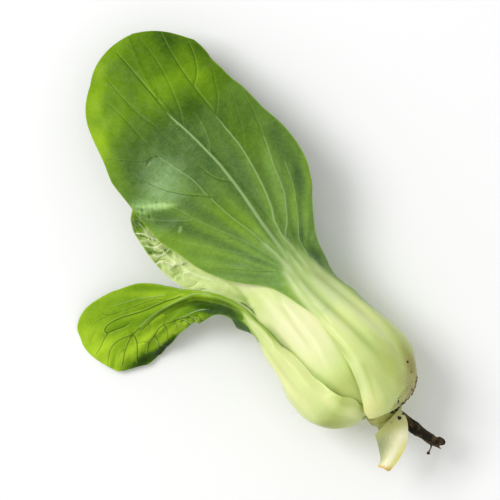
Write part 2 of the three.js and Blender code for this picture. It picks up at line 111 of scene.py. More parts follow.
FAR = 9.0  # distance that stands for being out of a drawn line's reach
VEIN_REACH = 7  # how far beyond its bends a drawn line is looked for
VEIN_POINTS = 6  # points on a drawn line for each of its bends
VEIN_FOOT = 0.45  # how much wider than the line its relief is
VEIN_DEFAULT = 0.3  # half-width where no line is near
VEIN_FULL, VEIN_FADES = 0.15, 0.7  # shares of a line where it is full, and where it starts to fade
STALK_SOFTNESS = 1.6  # of a leaf that has none of its own

# A leaf without its own lists takes these, as shares of its length.
HIDDEN_STALK = [[0, -30, 30], [0.34, -14, 14], [0.45, -5, 5], [0.6, -1.5, 1.5], [1, 0, 0]]
HIDDEN_TONE = [[0, 0.25, 0], [0.25, 0.8, 0], [0.45, 0.6, 0.1], [0.6, 0.3, 0.1], [1, 0.5, 0]]

# What a leaf's entries hold, in millimetres and degrees. A distance is measured up the leaf.
#   slot         name of an imported finish, which nothing reads
#   petiole      (azimuth on the bulb, how far inside its outline, lift, rows of BULB_PROFILE)
#   blade        the spine beyond the petiole, [x, y, z, and the direction outwards]
#   width        [distance, left half, right half], measured along the face
#   curl         [distance, turn of the left half, of the right half]
#   flesh        [distance, half-width of the fleshy middle, its depth inwards, rib outwards, ridges]
#   channel      [distance, depth] of the hollow to the left of the midrib
#   wave         (height, pitch, phase of the left margin, of the right one)
#   rolled       (side, first distance, last distance, depth) of a margin that is turned inwards
#   stalk        [distance, left, right] of the pale flesh's edges on the face
#   softness     half the width over which those edges blend
#   stalk_fades  (first distance, last distance, share) of the pale flesh's fading
#   tone         [distance, tone, bloom]: from deep to bright, and how much waxy bloom, with a painted sheen, dulls it
#   washes       [x, y, half-length, half-width, turn, tone, bloom], soft patches added to those
#   streaks      lines on the stalk, [tint, first half-width, last half-width, relief, bends]
#   veins        lines on the blade, written like the streaks; a negative tint is dark
#   vein_fades   first and last height on the blade over which pale veins turn dark
#   depth        what the veins' relief is multiplied by
#   fan          where the blade's folds spread from
#   fine         what the blade's roughness is multiplied by
#   crinkles     (wavelength, patches [x, y, half-length, half-width, turn] that are crinkled)
#   scaly        patches with small pale scales
#   dirt         [x, y, half-length, half-width, turn, share] of smears of soil

# The large outer leaf that lies on top.
# Among these, the light patch at the base's left is a painted highlight, and the dark ones in the upper
# middle add painted shadow.
RIGHT_WASHES = [
    [-40, 160, 18, 6, 85, 0.22, 0], [-34, 178, 13, 5, 65, 0.2, 0], [-28, 173, 9, 5, 20, 0.14, 0],
    [-27, 190, 12, 5, 45, 0.24, 0], [-14, 199, 12, 4, 15, 0.2, 0], [-20, 186, 8, 6, 60, 0.08, 0],
    [-38, 138, 16, 5, 95, 0.04, 0], [-38, 118, 12, 5, 120, 0.16, 0], [13, 176, 9, 5, 80, 0.1, 0],
    [4, 146, 10, 5, 90, 0.06, -0.02], [29, 152, 16, 5, 105, 0.13, -0.02], [20, 98, 8, 4, 70, 0.12, 0],
    [-2, 175, 12, 6, 0, 0.17, 0], [15, 166, 9, 5, 75, 0.14, 0], [27, 174, 18, 3.5, 105, -0.1, 0],
    [11, 191, 9, 5, 90, -0.12, 0], [5, 158, 7, 5, 90, -0.04, -0.04], [18, 144, 24, 8, 95, 0.06, -0.05],
    [20, 117, 16, 3.5, 75, 0.1, 0.06], [28, 116, 16, 3, 82, -0.12, 0], [33, 112, 14, 2.5, 80, 0.12, 0],
    [-5, 108, 14, 4, 112, 0.12, -0.04], [-22, 141, 11, 9, 110, 0.16, 0.19],
    [-30.6, 132, 6, 1.7, 152, 0.42, 0.26], [-36.6, 136, 5, 3, 140, 0.2, 0.19],
    [-28.4, 118.4, 1.3, 0.8, 30, 0.2, 0.3], [-26, 106, 16, 9, 125, 0.1, 0], [-28, 136, 9, 6, 150, 0.12, 0.1],
    [8, 118, 14, 3, 85, -0.08, 0.02], [13, 86, 12, 4, 105, -0.16, -0.05], [-12, 86, 12, 4, 125, -0.05, 0],
    [4, 95, 9, 3, 95, -0.14, -0.04], [16.5, 72, 10, 2.5, 100, -0.1, -0.1], [0, 8, 10, 5, 60, 0.36, 0],
    [15.5, 20, 12, 3.5, 92, -0.2, 0], [21, 36, 13, 3, 102, 0.16, 0], [-2, 68, 8, 3, 95, 0.2, -0.05],
    [25, 15, 9, 2.5, 80, -0.12, 0], [-22, 163, 12, 6, 5, -0.04, 0], [-20, 168, 9, 4, 0, -0.05, 0],
    [-12, 177, 6, 4, 80, -0.06, 0], [-6, 133, 10, 4, 100, -0.08, 0], [21, 160, 7, 4, 90, 0.07, 0],
    [21, 178, 10, 3, 105, -0.06, 0], [14, 192, 9, 4, 130, -0.06, 0], [-25, 149, 8, 5, 0, -0.06, 0],
    [-38, 170, 8, 4, 80, 0.12, 0], [-37, 112, 8, 3, 110, 0.08, 0], [20, 30, 24, 4.5, 97, -0.14, 0],
    [26.5, 24, 22, 3, 95, -0.3, 0], [2.6, 62, 8, 3.4, 92, 0.14, 0], [15, 71, 9, 3, 100, -0.2, 0.04],
    [14, 33, 22, 2.4, 97, -0.05, 0], [-1.5, 9, 9, 3, 68, 0.1, 0],
]
# The dark streaks are greener grooves deepened with painted shade, the first along the leaf's left edge.
RIGHT_STREAKS = [
    [-0.9, 0.7, 1, -0.3, [(-3.6, 71), (-1.8, 61), (0, 51), (0.9, 45), (1.9, 38), (2.2, 31), (1.6, 25)]],
    [0.7, 0.8, 1.2, 0.25, [(-0.2, 80), (0, 72), (0.6, 62), (1.8, 52), (3.2, 43), (4.4, 34)]],
    [-0.7, 0.5, 0.8, -0.2, [(1.5, 79), (1.6, 72), (2, 64), (3, 53), (4.6, 45), (5.4, 36)]],
    [-1, 1.1, 0.3, -0.5, [(-1.4, 104), (0.4, 97), (1.7, 91), (2.9, 85), (3.4, 79)]],
    [0.8, 0.6, 0.7, 0.3, [(-1.6, 95), (0, 90), (1.6, 84), (2.6, 77), (3, 70)]],
    [-0.6, 0.3, 0.5, -0.25, [(4.6, 84), (4.8, 78), (5, 71), (5.4, 65)]],
    [0.5, 0.6, 0.6, 0.3, [(6.2, 86), (6.5, 79), (6.9, 72)]],
    [-1, 1.2, 0.3, -0.5, [(5.8, 103), (6, 96), (6.6, 90), (7.4, 84), (8, 77), (8.2, 71)]],
    [0.7, 0.6, 0.7, 0.3, [(8, 92), (8.8, 85), (9.4, 78), (10.2, 70)]],
    [-0.8, 0.8, 0.4, -0.35, [(9.6, 89), (10.3, 82), (11, 76), (12.2, 69)]],
    [1, 1.1, 1.8, 0.4, [(2.8, 74), (3.4, 66), (4.6, 58), (6.4, 50), (8.4, 42), (10, 33)]],
    [-1, 0.8, 1.5, -0.45, [
        (4.8, 74), (5.6, 65), (6.9, 58), (8.5, 52), (10.2, 45), (12, 38), (13.6, 31), (14.8, 24), (15.3, 17),
    ]],
    [1, 1.2, 2.2, 0.45, [(8, 72), (9.4, 65), (11.4, 58), (14, 50), (17, 42), (19.4, 34), (20.6, 26)]],
    [-0.6, 0.7, 1.3, -0.3, [(10.7, 72), (12.4, 65), (14.8, 57), (17.6, 48), (19.6, 40), (21, 31)]],
    [0.6, 0.9, 1.4, 0.25, [(11.6, 78), (13.2, 70), (15.6, 61), (18.4, 52), (21.4, 44), (23.5, 36)]],
    [-1, 1.2, 1.6, -0.1, [(16.5, 76), (17.2, 68), (18.6, 60), (21, 51), (24, 42), (26.5, 34)]],
    [-0.4, 0.6, 1, -0.15, [(12.6, 57), (14.6, 48), (16.6, 39), (18, 31), (18.6, 23)]],
    [0.8, 1.2, 1.6, 0.3, [(4.6, 30), (3.2, 21), (0.6, 12), (-1.6, 5)]],
    [-0.5, 0.8, 1, -0.15, [(6.6, 28), (5.4, 20), (3, 12), (1, 5)]],
]
RIGHT_VEINS = [
    [1, 1.5, 0.35, 0.4, [
        (4.4, 82), (4, 90), (3.4, 100), (3.2, 110), (3, 118), (2.5, 125), (1.8, 133), (0.5, 140), (-2, 152),
        (-5, 163), (-6.5, 175), (-8, 188), (-9.5, 199),
    ]],
    [0.8, 0.9, 0.4, 0.7, [
        (9, 84), (7.7, 91), (8, 95), (8.6, 100), (9.6, 102), (11.3, 108), (12.5, 115), (13.2, 122),
        (13.6, 128), (13.7, 135), (13.2, 140), (12.5, 146), (12, 153), (11, 165), (10.5, 175), (10.5, 185),
        (12, 200),
    ]],
    [0.75, 0.7, 0.3, 0.6, [
        (8.8, 90.5), (10, 92.5), (12, 94.5), (14, 97.5), (16, 101.5), (18.5, 106), (20, 112), (21.5, 120),
        (23.5, 127), (25, 134),
    ]],
    [0.7, 0.5, 0.28, 0.5, [
        (12.3, 77), (12.6, 83), (13.3, 87), (15, 90), (17, 93), (19, 97), (21, 101), (24, 108), (26.5, 118),
    ]],
    [0.55, 0.6, 0.34, 0.6, [
        (1.6, 84), (0.5, 88), (-1, 94), (-3, 101), (-4.5, 105), (-6, 109), (-7.5, 114), (-9, 120),
        (-10.5, 126), (-11, 130), (-12, 134), (-14.5, 140), (-17, 146), (-19, 151), (-20.5, 158),
        (-21.5, 165), (-22.5, 172), (-25, 182),
    ]],
    [0.3, 0.6, 0.28, 0.6, [
        (-0.6, 85), (-4, 92), (-9, 101), (-13, 107), (-17, 113), (-20.5, 119), (-23, 124), (-27, 130),
    ]],
    [0.2, 0.5, 0.25, 0.5, [(-2, 83), (-6, 88.5), (-12, 95), (-19, 102), (-26, 109), (-33, 116)]],
    [-0.35, 0.5, 0.25, -0.5, [(-4.5, 80.5), (-9, 83.5), (-14, 87.5), (-20, 92), (-25, 96)]],
    [-0.3, 0.45, 0.25, -0.4, [(-9, 101), (-14, 104), (-20, 110), (-26, 117), (-31, 121)]],
    [-0.5, 0.42, 0.28, -0.4, [(-2, 157), (0, 163), (1.5, 170), (3, 180), (3.2, 190), (2.5, 198)]],
    [0.35, 0.4, 0.2, 0.4, [(1, 139), (3.5, 144), (4.8, 150), (5.2, 158), (5.5, 166)]],
    [-0.7, 0.45, 0.28, -0.45, [(10.8, 168), (15, 172), (18, 178), (20, 187)]],
    [-0.5, 0.4, 0.2, -0.4, [(12, 152), (17, 158), (20, 165), (22.5, 172)]],
    [-0.3, 0.4, 0.2, -0.4, [(13.3, 131), (16, 136), (19, 142), (21, 149), (24, 158)]],
    [-0.4, 0.4, 0.22, -0.4, [(23, 128), (25, 135), (26.5, 143), (27.5, 152)]],
    [-0.6, 0.55, 0.3, -0.5, [(2, 123), (0, 125), (-2, 127), (-4, 130), (-6.5, 137)]],
    [-0.55, 0.6, 0.3, -0.5, [(-9.5, 123), (-13, 125.7), (-16, 128), (-20, 131.5), (-26, 138), (-30, 145)]],
    [-0.4, 0.4, 0.24, -0.4, [(-19, 151), (-25, 152), (-31, 156), (-38, 161.5)]],
    [-0.5, 0.45, 0.28, -0.45, [(-13, 162), (-16, 170), (-18, 180), (-19.5, 192)]],
    [0.4, 0.36, 0.2, 0.4, [(-21.5, 119), (-27, 122), (-33, 126), (-38, 130)]],
    [0.4, 0.32, 0.2, 0.35, [(-3.2, 199), (-2.8, 196), (-0.5, 194), (3, 193.5)]],
    [-0.3, 0.35, 0.2, -0.35, [(-5.8, 171), (-3, 176), (-1.5, 183)]],
    [-0.3, 0.35, 0.2, -0.35, [(-3, 155.5), (-8, 160), (-12, 167)]],
    [-0.9, 0.6, 0.4, -0.7, [(-25, 150.4), (-22.5, 151.6), (-20.5, 151.3), (-19.2, 150.4)]],
]
LEAF_RIGHT = {
    "slot": "outer_leaf",
    "petiole": (38, 0, 0, 9),
    "blade": [
        [8.8, 68, 40.8, 0.42, 0, 0.9], [5.6, 83, 38.8, 0.16, 0, 0.98], [3.6, 100, 38.8, 0, 0, 1],
        [2.6, 122, 39.2, 0, 0, 1], [0.2, 140, 38.2, 0, 0, 1], [-3.6, 158, 35.6, 0, 0, 1],
        [-5.4, 176, 31.5, 0, 0, 1], [-3.6, 191, 27, 0, 0, 1], [-1.4, 202.5, 22.8, 0, 0, 1],
    ],
    "width": [
        [0, 16, 7.5], [14, 21.5, 15], [36, 18.8, 27], [60, 15, 22], [73, 13, 18.5], [82, 13.5, 15.8],
        [91, 15.5, 15.8], [101, 24, 19.8], [109, 31, 24.4], [118, 36.5, 29.6], [138, 42, 34],
        [158, 42.5, 32.5], [172, 40, 31.6], [183, 36, 31], [200, 30.8, 32], [220, 25, 33],
    ],
    "curl": [
        [0, 10, 20], [8, 20, 30], [14, 32, 40], [24, 40, 48], [36, 38, 54], [60, 38, 58], [84, 40, 50],
        [105, 24, 26], [140, 18, 22], [220, 14, 26],
    ],
    "flesh": [
        [0, 9, 4.5, 0, 0], [20, 19.5, 6, 0, 0.3], [45, 20, 6.2, 0, 0.5], [75, 15, 4.6, 0.2, 0.5],
        [90, 9, 2.6, 0.6, 0.3], [110, 4, 0.5, 1.4, 0], [160, 1.8, 0, 0.9, 0], [220, 0.9, 0, 0.3, 0],
    ],
    "wave": (1.1, 44, 0.4, 2.2),
    "rolled": (-1, 30, 96, 1.4),
    "stalk": [
        [0, -30, 30], [50, -30, 24], [60, -26, 14.5], [70, -18, 10.5], [77, -13.5, 8.4], [84, -10.4, 7],
        [92, -7.4, 5.8], [99, -4.4, 4.4], [105, -1.2, 2.4], [112, 0, 0.2], [122, 2, -2], [220, 2, -2],
    ],
    "softness": 2.4,
    "stalk_fades": (70, 106, 0.8),
    # The blade darkens in its upper middle, painted shadow of the middle leaf seen through it, and brightens
    # beyond in painted light through the thin tip.
    "tone": [
        [0, 0.62, 0], [10, 0.54, 0], [20, 0.44, 0], [28, 0.36, 0], [38, 0.46, 0.01], [48, 0.58, 0.02],
        [58, 0.66, 0.04], [66, 0.58, 0.08], [74, 0.42, 0.15], [82, 0.33, 0.19], [97, 0.3, 0.16],
        [112, 0.26, 0.11], [134, 0.17, 0.08], [149, 0.1, 0.08], [163, 0.04, 0.08], [174, 0.045, 0.035],
        [179, 0.1, 0.01], [186, 0.22, 0], [194, 0.22, 0], [203, 0.19, 0], [214, 0.18, 0], [220, 0.3, 0],
    ],
    "washes": RIGHT_WASHES,
    "streaks": RIGHT_STREAKS,
    "veins": RIGHT_VEINS,
    "vein_fades": (158, 174),
    "fan": (5, 70),
    "scaly": [[-31, 132.4, 7, 2, 150], [-38.4, 134.6, 5, 2.2, 110], [-28.4, 118.2, 1.4, 1, 30]],
    "dirt": [
        [22, 9, 9, 3.2, 55, 0.9], [24.5, 15, 7, 2.6, 85, 0.8], [14, 3.6, 8, 1.6, 20, 0.8],
        [17, 8, 7, 4, 30, 0.5], [16.6, 2.5, 7.6, 0.8, 21, 1.6], [23.6, 6.4, 2.6, 1.2, 50, 1.4],
        [9, 1.6, 4, 1, 4, 0.7],
    ],
}

# The outer leaf that bends away to the left.
# Painted shade among these: the dark band on the curled-under lower margin, the dark flap below the neck and
# the dark patches round the neck's channel.
# The light patches low on the stalk's right are a painted highlight, and the small light and dark pairs
# paint the ruffled margin's highlights and shade.
LEFT_WASHES = [
    [-88, 96, 12, 7, 90, 0.2, 0], [-75, 83.6, 9, 2, 18, 0.18, 0], [-66, 105.4, 17, 4, -14, -0.04, 0],
    [-54, 88.2, 7, 1.5, -4, -0.16, 0], [-55, 82.6, 8, 2.4, 5, 0.3, 0], [-68, 87, 14, 3.4, 5, 0.16, 0],
    [-50, 97.4, 10, 3, -28, 0.18, 0], [-46, 93.4, 9, 1.6, -12, 0.2, 0], [-77, 78.6, 7, 2.8, 10, -0.52, 0],
    [-69, 78, 9, 2.4, -2, -0.62, 0], [-60, 78.8, 7, 1.8, 6, -0.75, 0], [-56, 101.4, 7, 1.8, -38, 0.1, 0],
    [-86.6, 84.8, 5, 1.2, 38, -0.3, 0], [-29.6, 66, 6.5, 2.6, 108, -0.75, 0.04],
    [-81, 81.6, 5, 1.8, 35, -0.22, 0], [-70, 92.4, 10, 1.8, 6, -0.14, 0], [-76, 98, 8, 3, -10, -0.1, 0],
    [-60, 101, 16, 3, -25, -0.06, 0], [-47, 87.4, 9, 2, -8, 0.06, 0], [-42, 84.4, 6, 2, -30, -0.2, 0],
    [-49.2, 82.8, 1.4, 0.8, 30, 0.3, 0], [-46.9, 82, 1.2, 0.7, -40, 0.3, 0],
    [-44.6, 80.6, 1.6, 0.7, 15, 0.26, 0], [-42, 81.8, 1.2, 0.6, 40, 0.24, 0],
    [-48, 80.7, 2, 0.6, 0, -0.4, 0], [-45, 82.4, 1.4, 0.7, 60, -0.3, 0], [-43.4, 79.4, 2, 0.6, 0, -0.3, 0],
    [-13, 14, 8, 2.4, 115, 0.22, 0], [-8.4, 9, 4, 2.6, 120, 0.4, 0], [-21, 10.2, 7, 2.8, 150, -0.32, 0],
    [-15, 21, 6, 3, 110, 0.1, 0], [-26, 34, 20, 2, 95, 0.16, 0], [-35, 79.6, 6, 1.7, -38, -0.32, 0.02],
    [-30.6, 73.6, 5, 1.6, 112, -0.4, 0.02], [-37.6, 84, 9, 2.3, -44, -0.34, 0],
    [-35, 87.6, 5, 1.4, -42, 0.3, 0], [-29.6, 76.4, 6, 2, 118, -0.4, 0], [-48, 89.6, 9, 2, -6, 0.06, 0],
    [-34, 88.4, 9, 1.5, -48, 0.14, 0], [-25.4, 76.6, 7, 1.3, 117, 0.2, 0], [-44, 81.6, 5, 1.8, 0, 0.16, 0],
]
# The dark streaks paint shade in the grooves and along the edge that lies on the middle leaf.
LEFT_STREAKS = [
    [-1, 1, 0.8, -0.2, [(-23, 74), (-21.6, 67), (-20.4, 58), (-19.4, 50), (-18, 42)]],
    [-0.6, 0.8, 1, -0.2, [(-25, 68), (-23.4, 60), (-22, 52), (-20.8, 44), (-19, 36)]],
    [0.7, 1, 1.6, 0.3, [(-23.8, 70), (-22.4, 61), (-21.2, 52), (-19.6, 42), (-17, 33)]],
    [-0.5, 0.8, 1.2, -0.2, [(-26.4, 64), (-26, 55), (-25.6, 45), (-25, 35), (-23.4, 26)]],
    [0.6, 1, 1.6, 0.2, [(-27, 58), (-27.4, 48), (-27.4, 38), (-26.6, 28)]],
]
# The dark lines paint shade in sunken veins, and the wide one from the neck the shadowed channel below the
# midrib.
# The short pale and dark pairs paint the ruffled margin's highlights and shade.
LEFT_VEINS = [
    [0.7, 0.6, 0.35, 0.5, [
        (-33, 87.5), (-38, 91), (-44, 92.4), (-50, 93), (-57, 93.4), (-63, 92.9), (-68, 91.9),
    ]],
    [-0.8, 0.8, 0.4, -0.6, [(-44, 91), (-50, 91.6), (-57, 92), (-63, 91.4), (-67, 90.6)]],
    [-0.8, 0.4, 0.35, -0.5, [
        (-67, 91.8), (-71.5, 91), (-74, 89.8), (-76.5, 88.2), (-79, 86), (-81, 84), (-83, 82),
    ]],
    [-0.7, 0.4, 0.3, -0.5, [
        (-72, 91), (-75, 91.8), (-78.5, 92.2), (-82, 91.6), (-85, 89.7), (-87, 87.5), (-88.4, 85.6),
    ]],
    [-0.9, 0.42, 0.35, -0.6, [(-71.6, 91), (-71.6, 89), (-72, 87), (-73.6, 84), (-75, 82), (-76.4, 80)]],
    [-0.5, 0.36, 0.25, -0.4, [(-77.6, 87.2), (-79.8, 87.6), (-82, 86.4), (-83, 85.2)]],
    [-0.9, 0.45, 0.35, -0.6, [
        (-44, 93.6), (-48, 94.3), (-52, 95.3), (-57, 96.2), (-62, 97.1), (-67, 98.6), (-72, 100),
        (-77, 100.6), (-80, 100.1), (-81.3, 98.6), (-80.4, 97.5),
    ]],
    [-0.8, 0.36, 0.28, -0.5, [(-80.8, 97.7), (-77, 96.9), (-73.5, 96.1), (-70, 96)]],
    [-0.7, 0.36, 0.25, -0.5, [(-81, 97.7), (-84.5, 95.6), (-86.6, 94), (-89.4, 92.8)]],
    [0.6, 0.36, 0.25, 0.4, [(-49.5, 97.8), (-54, 99.8), (-60, 102.8), (-65, 104.4), (-70.6, 106)]],
    [-0.5, 0.36, 0.25, -0.4, [
        (-52, 97), (-58, 99.6), (-65, 101.2), (-70, 102.5), (-76.5, 104.8), (-78, 107.4),
    ]],
    [-0.4, 0.34, 0.25, -0.4, [(-71, 102.4), (-77, 104.1), (-83, 104.4), (-87, 103)]],
    [-0.35, 0.3, 0.25, -0.3, [(-84, 101.5), (-88, 99.8), (-90.6, 97.4)]],
    [0.9, 0.5, 0.35, 0.6, [
        (-25, 67), (-27.4, 70.6), (-29.4, 73.8), (-31.6, 77), (-34.4, 80), (-38, 82.8), (-42, 84.6),
        (-47, 85.4), (-52, 86),
    ]],
    [0.6, 0.4, 0.25, 0.4, [(-24.6, 69), (-27.6, 73.6), (-30, 77.4), (-32.6, 80.6), (-36, 83.2)]],
    [-0.7, 1.8, 1.5, -0.5, [
        (-27, 71), (-29.4, 75), (-32, 78.8), (-35.4, 82.4), (-39.2, 85.9), (-43.6, 88.4), (-48, 90),
        (-54, 90.9),
    ]],
    [-0.8, 0.5, 0.5, 0.3, [(-27.3, 60.5), (-27.3, 64), (-27.2, 68), (-27.8, 71.5), (-30, 75)]],
    [0.5, 0.5, 0.3, 0.4, [(-23, 72), (-25.6, 77), (-28.6, 81.4), (-32, 85.6), (-36, 88.6)]],
    [-0.9, 0.42, 0.35, -0.6, [
        (-48, 85), (-52, 85.6), (-57, 87), (-60.4, 86.8), (-64, 85.2), (-67.6, 83.4), (-70.4, 80.8),
    ]],
    [-0.7, 0.36, 0.3, -0.5, [(-57.4, 86.6), (-57.8, 84.6), (-58.4, 82.6), (-59.8, 80.4)]],
    [-0.7, 0.36, 0.3, -0.5, [(-63.6, 85), (-63.9, 83.4), (-63.8, 81.8), (-65.2, 79.6)]],
    [-0.5, 0.34, 0.25, -0.4, [(-52.4, 85.4), (-53, 83.6), (-54, 81.4)]],
    [-0.5, 0.34, 0.25, -0.4, [(-54, 91.6), (-54.4, 89.6), (-57, 88.1)]],
    [-0.5, 0.34, 0.25, -0.4, [(-63, 91.4), (-63, 89.6), (-65.2, 88.4)]],
    [-0.5, 0.34, 0.25, -0.4, [(-67.4, 83.4), (-68.6, 85.6), (-71.6, 86.6)]],
    [-0.9, 0.4, 0.3, -0.8, [(-50.6, 84.2), (-49.6, 83.6), (-48.2, 81.9), (-48.4, 80.4)]],
    [-0.9, 0.36, 0.3, -0.8, [(-47.4, 84), (-46.2, 83.2), (-45.4, 81.6), (-46.2, 80)]],
    [0.9, 0.4, 0.3, 0.9, [(-49, 84.2), (-47.6, 82.9), (-47.2, 81.4), (-47.9, 80.2)]],
    [0.8, 0.36, 0.3, 0.8, [(-45.2, 83.6), (-44, 82.2), (-44.4, 80.6), (-43.2, 79.4)]],
    [-0.8, 0.34, 0.3, -0.6, [(-43.4, 83), (-42.4, 81.6), (-42.8, 80.2)]],
]
LEAF_LEFT = {
    "slot": "bent_leaf",
    "petiole": (-68, -0.9, 4.9, 7),
    "blade": [
        [-26.8, 50, 34.5, -0.9, 0, 0.45], [-25, 60, 34, -0.75, 0, 0.65], [-25, 68, 33.8, -0.55, 0, 0.8],
        [-26.8, 77, 33, -0.35, -0.1, 0.93], [-32, 84.8, 31.8, -0.15, -0.15, 0.97],
        [-39, 90, 29.2, 0, -0.2, 0.98], [-48, 92.8, 24.8, 0, -0.15, 0.98], [-58, 93.2, 19.4, 0, -0.1, 1],
        [-67, 92.3, 14.4, 0, 0, 1], [-75.5, 89.5, 9.8, -0.1, 0, 1], [-82, 85.3, 6.4, -0.2, 0, 1],
        [-86.4, 81.4, 4, -0.2, 0, 1],
    ],
    "width": [
        [0, 7, 12], [7, 11, 20], [14, 15, 23.2], [27, 19, 22], [40, 19, 19], [50, 16, 14.8], [64, 7, 8.6],
        [72, 5, 5], [80, 11, 2.4], [87, 8, 1.8], [98, 10, 1.8], [107, 13.5, 2.6], [113, 15, 4.6],
        [120, 15.2, 10.5], [128, 15.8, 15.5], [138, 17.2, 19.5], [143, 18.2, 22], [148, 18.6, 24.8],
        [152, 18.8, 26.6], [157, 18.2, 28.4], [166, 10.6, 26.8],
    ],
    "curl": [
        [0, 20, 30], [14, 40, 50], [32, 42, 48], [60, 50, 46], [80, 45, 35], [110, 45, 10], [130, 50, 16],
        [150, 55, 22], [170, 40, 20],
    ],
    "flesh": [
        [0, 9, 4.5, 0, 0], [20, 20, 5.8, 0, 0.2], [45, 20, 6, 0, 0.35], [64, 9, 4.5, 0, 0.2],
        [80, 6, 2.8, 0, 0], [100, 4.5, 2, 0.2, 0], [140, 2.5, 0.8, 0.2, 0], [170, 1.2, 0, 0.1, 0],
    ],
    "channel": [[0, 0], [70, 0], [84, 1.6], [98, 3.2], [112, 2.6], [128, 1], [142, 0.2], [170, 0]],
    "wave": (0.4, 26, 0.9, 2.6),
    "rolled": (1, 40, 84, 3),
    "stalk": [
        [0, -30, 30], [50, -30, 24], [60, -30, 12], [66, -14, 8], [70, -3, 4.8], [75, -2.2, 3.2],
        [79, -1.8, 1.6], [83, -0.4, 0.6], [86, 0.5, -0.5], [90, 2, -2], [170, 2, -2],
    ],
    "tone": [
        [0, 0.3, 0], [14, 0.24, 0], [20, 0.12, 0], [25, 0.32, 0], [29, 0.54, 0], [41, 0.64, 0],
        [60, 0.7, 0.02], [72, 0.62, 0.06], [80, 0.55, 0.04], [88, 0.36, 0.03], [98, 0.28, 0.02],
        [107, 0.36, 0], [116, 0.42, 0], [126, 0.46, 0], [140, 0.5, 0], [155, 0.6, 0], [170, 0.76, 0],
    ],
    "washes": LEFT_WASHES,
    "streaks": LEFT_STREAKS,
    "veins": LEFT_VEINS,
    "depth": 1.7,
    "fan": (-33, 89),
    "fine": 1.8,
}

# The pale leaf between those two.
# The dark patches paint shade in the crinkled margin and at the foot of the blade, between the outer leaves.
MIDDLE_WASHES = [
    [-44, 134.6, 3, 1.6, 50, 0.1, 0], [-45.6, 119, 11, 0.9, 92, -0.3, 0], [-43, 131, 4, 3.4, 85, -0.4, 0],
    [-39.4, 113, 12, 1.4, 108, 0.1, 0], [-19, 75, 8, 4, 110, -0.26, 0], [-10, 74, 7, 3, 120, -0.2, 0],
]
# The first lines paint the light and shade of a fold on the margin, the long dark one painted shade along
# the bent leaf's edge; the last three are ribs.
MIDDLE_STREAKS = [
    [1, 0.6, 0.7, 0.7, [
        (-35, 92), (-32, 88), (-29, 83.5), (-26.4, 79.4), (-24.6, 76.6), (-22.4, 75.2), (-19.6, 74.6),
    ]],
    [-0.6, 1, 0.7, -0.4, [(-27, 84.6), (-25, 81), (-23, 78.4), (-21, 76.8), (-18.6, 76.4)]],
    [1, 0.5, 0.5, 0.5, [(-22.6, 72.8), (-21, 73), (-19.2, 72)]],
    [-0.5, 0.5, 0.4, -0.4, [(-25, 95), (-24, 90), (-22.8, 85), (-21, 79)]],
    [0.5, 0.5, 0.4, 0.3, [(-26.4, 95), (-25.2, 90), (-23.8, 84)]],
    [-1, 1.6, 1, 0, [(-20.5, 66), (-18, 53), (-16.6, 42), (-14, 33), (-11, 25), (-8, 18), (-5, 13)]],
    [0.6, 1.5, 2.2, 0.2, [(-15, 74), (-14, 62), (-13, 50), (-11.5, 38)]],
    [-0.4, 1, 1.6, -0.15, [(-9, 74), (-9.6, 62), (-9.4, 50), (-8.6, 38)]],
    [0.5, 1.2, 2, 0.15, [(-6, 70), (-6.6, 60), (-6, 48), (-5.4, 36)]],
]
# After the first, these paint the crinkled margin's light and shade: pale ridges with dark lines of painted
# shadow beside them.
# The dark line near the bent leaf's neck is painted shade.
MIDDLE_VEINS = [
    [0.5, 0.7, 0.35, 0.5, [(-29, 92), (-33.5, 98), (-37, 105), (-39.5, 112), (-41, 120), (-42, 130)]],
    [-0.5, 0.5, 0.4, -0.5, [(-33.6, 90.4), (-35.4, 91.2), (-37.4, 91.2), (-39, 92)]],
    [-0.4, 0.4, 0.3, -0.5, [(-35, 95), (-37, 94.6), (-39.4, 95.4)]],
    [1, 0.5, 0.3, 1.2, [(-33.4, 105.2), (-35.8, 105.5), (-37.4, 106.1), (-39.4, 106.8), (-41, 106.4)]],
    [-0.9, 0.32, 0.3, -0.5, [(-33.6, 104.3), (-36, 104.6), (-38, 105.2), (-39.6, 105.8)]],
    [1, 0.5, 0.4, 1.3, [(-45.4, 111.2), (-43.4, 111), (-41.6, 109.8), (-40, 108), (-39.4, 106.8)]],
    [-0.8, 0.4, 0.35, -0.7, [(-45.2, 112.3), (-43.2, 112.2), (-41.4, 111.2)]],
    [1, 0.5, 0.4, 1.4, [(-44.6, 115.6), (-43.4, 114.2), (-41.6, 113.2), (-39.4, 113.2), (-37.6, 113.8)]],
    [-0.9, 0.45, 0.4, -0.75, [(-44.2, 117), (-42.9, 115.5), (-41.2, 114.4), (-38.6, 114.4)]],
    [1, 0.45, 0.35, 1.2, [(-44.8, 120.2), (-43, 118.4), (-41.4, 117.2), (-39, 117.1), (-38, 117.4)]],
    [-0.8, 0.4, 0.35, -0.7, [(-44, 121), (-42, 118.9), (-40, 118.3), (-38.6, 118.4)]],
    [1, 0.5, 0.4, 1.4, [(-45.2, 127.2), (-43.4, 126), (-41.8, 123.8), (-40.4, 121.8), (-38.9, 119.8)]],
    [-0.9, 0.4, 0.35, -0.75, [(-44.8, 125.6), (-43.2, 124), (-42, 122.2), (-40.6, 120.4)]],
    [0.8, 0.4, 0.3, 1, [(-45.6, 123.6), (-43.8, 122.6), (-42.2, 122.4)]],
    [-0.9, 0.5, 0.4, -0.7, [(-45.6, 117.2), (-44.2, 115.8), (-43.4, 116.6)]],
    [-0.4, 0.4, 0.3, -0.4, [(-42.6, 102.6), (-41, 103.2), (-39.4, 102.6)]],
    [-0.4, 0.4, 0.3, -0.4, [(-39.8, 101), (-38.4, 101.9), (-37, 102)]],
    [-1, 0.5, 0.5, -0.6, [(-23.6, 76.6), (-22.8, 74.6), (-21.9, 71.8), (-21.4, 69.4)]],
    [0.7, 0.4, 0.3, 0.6, [(-34, 99.5), (-38, 101.5), (-43.5, 101)]],
]
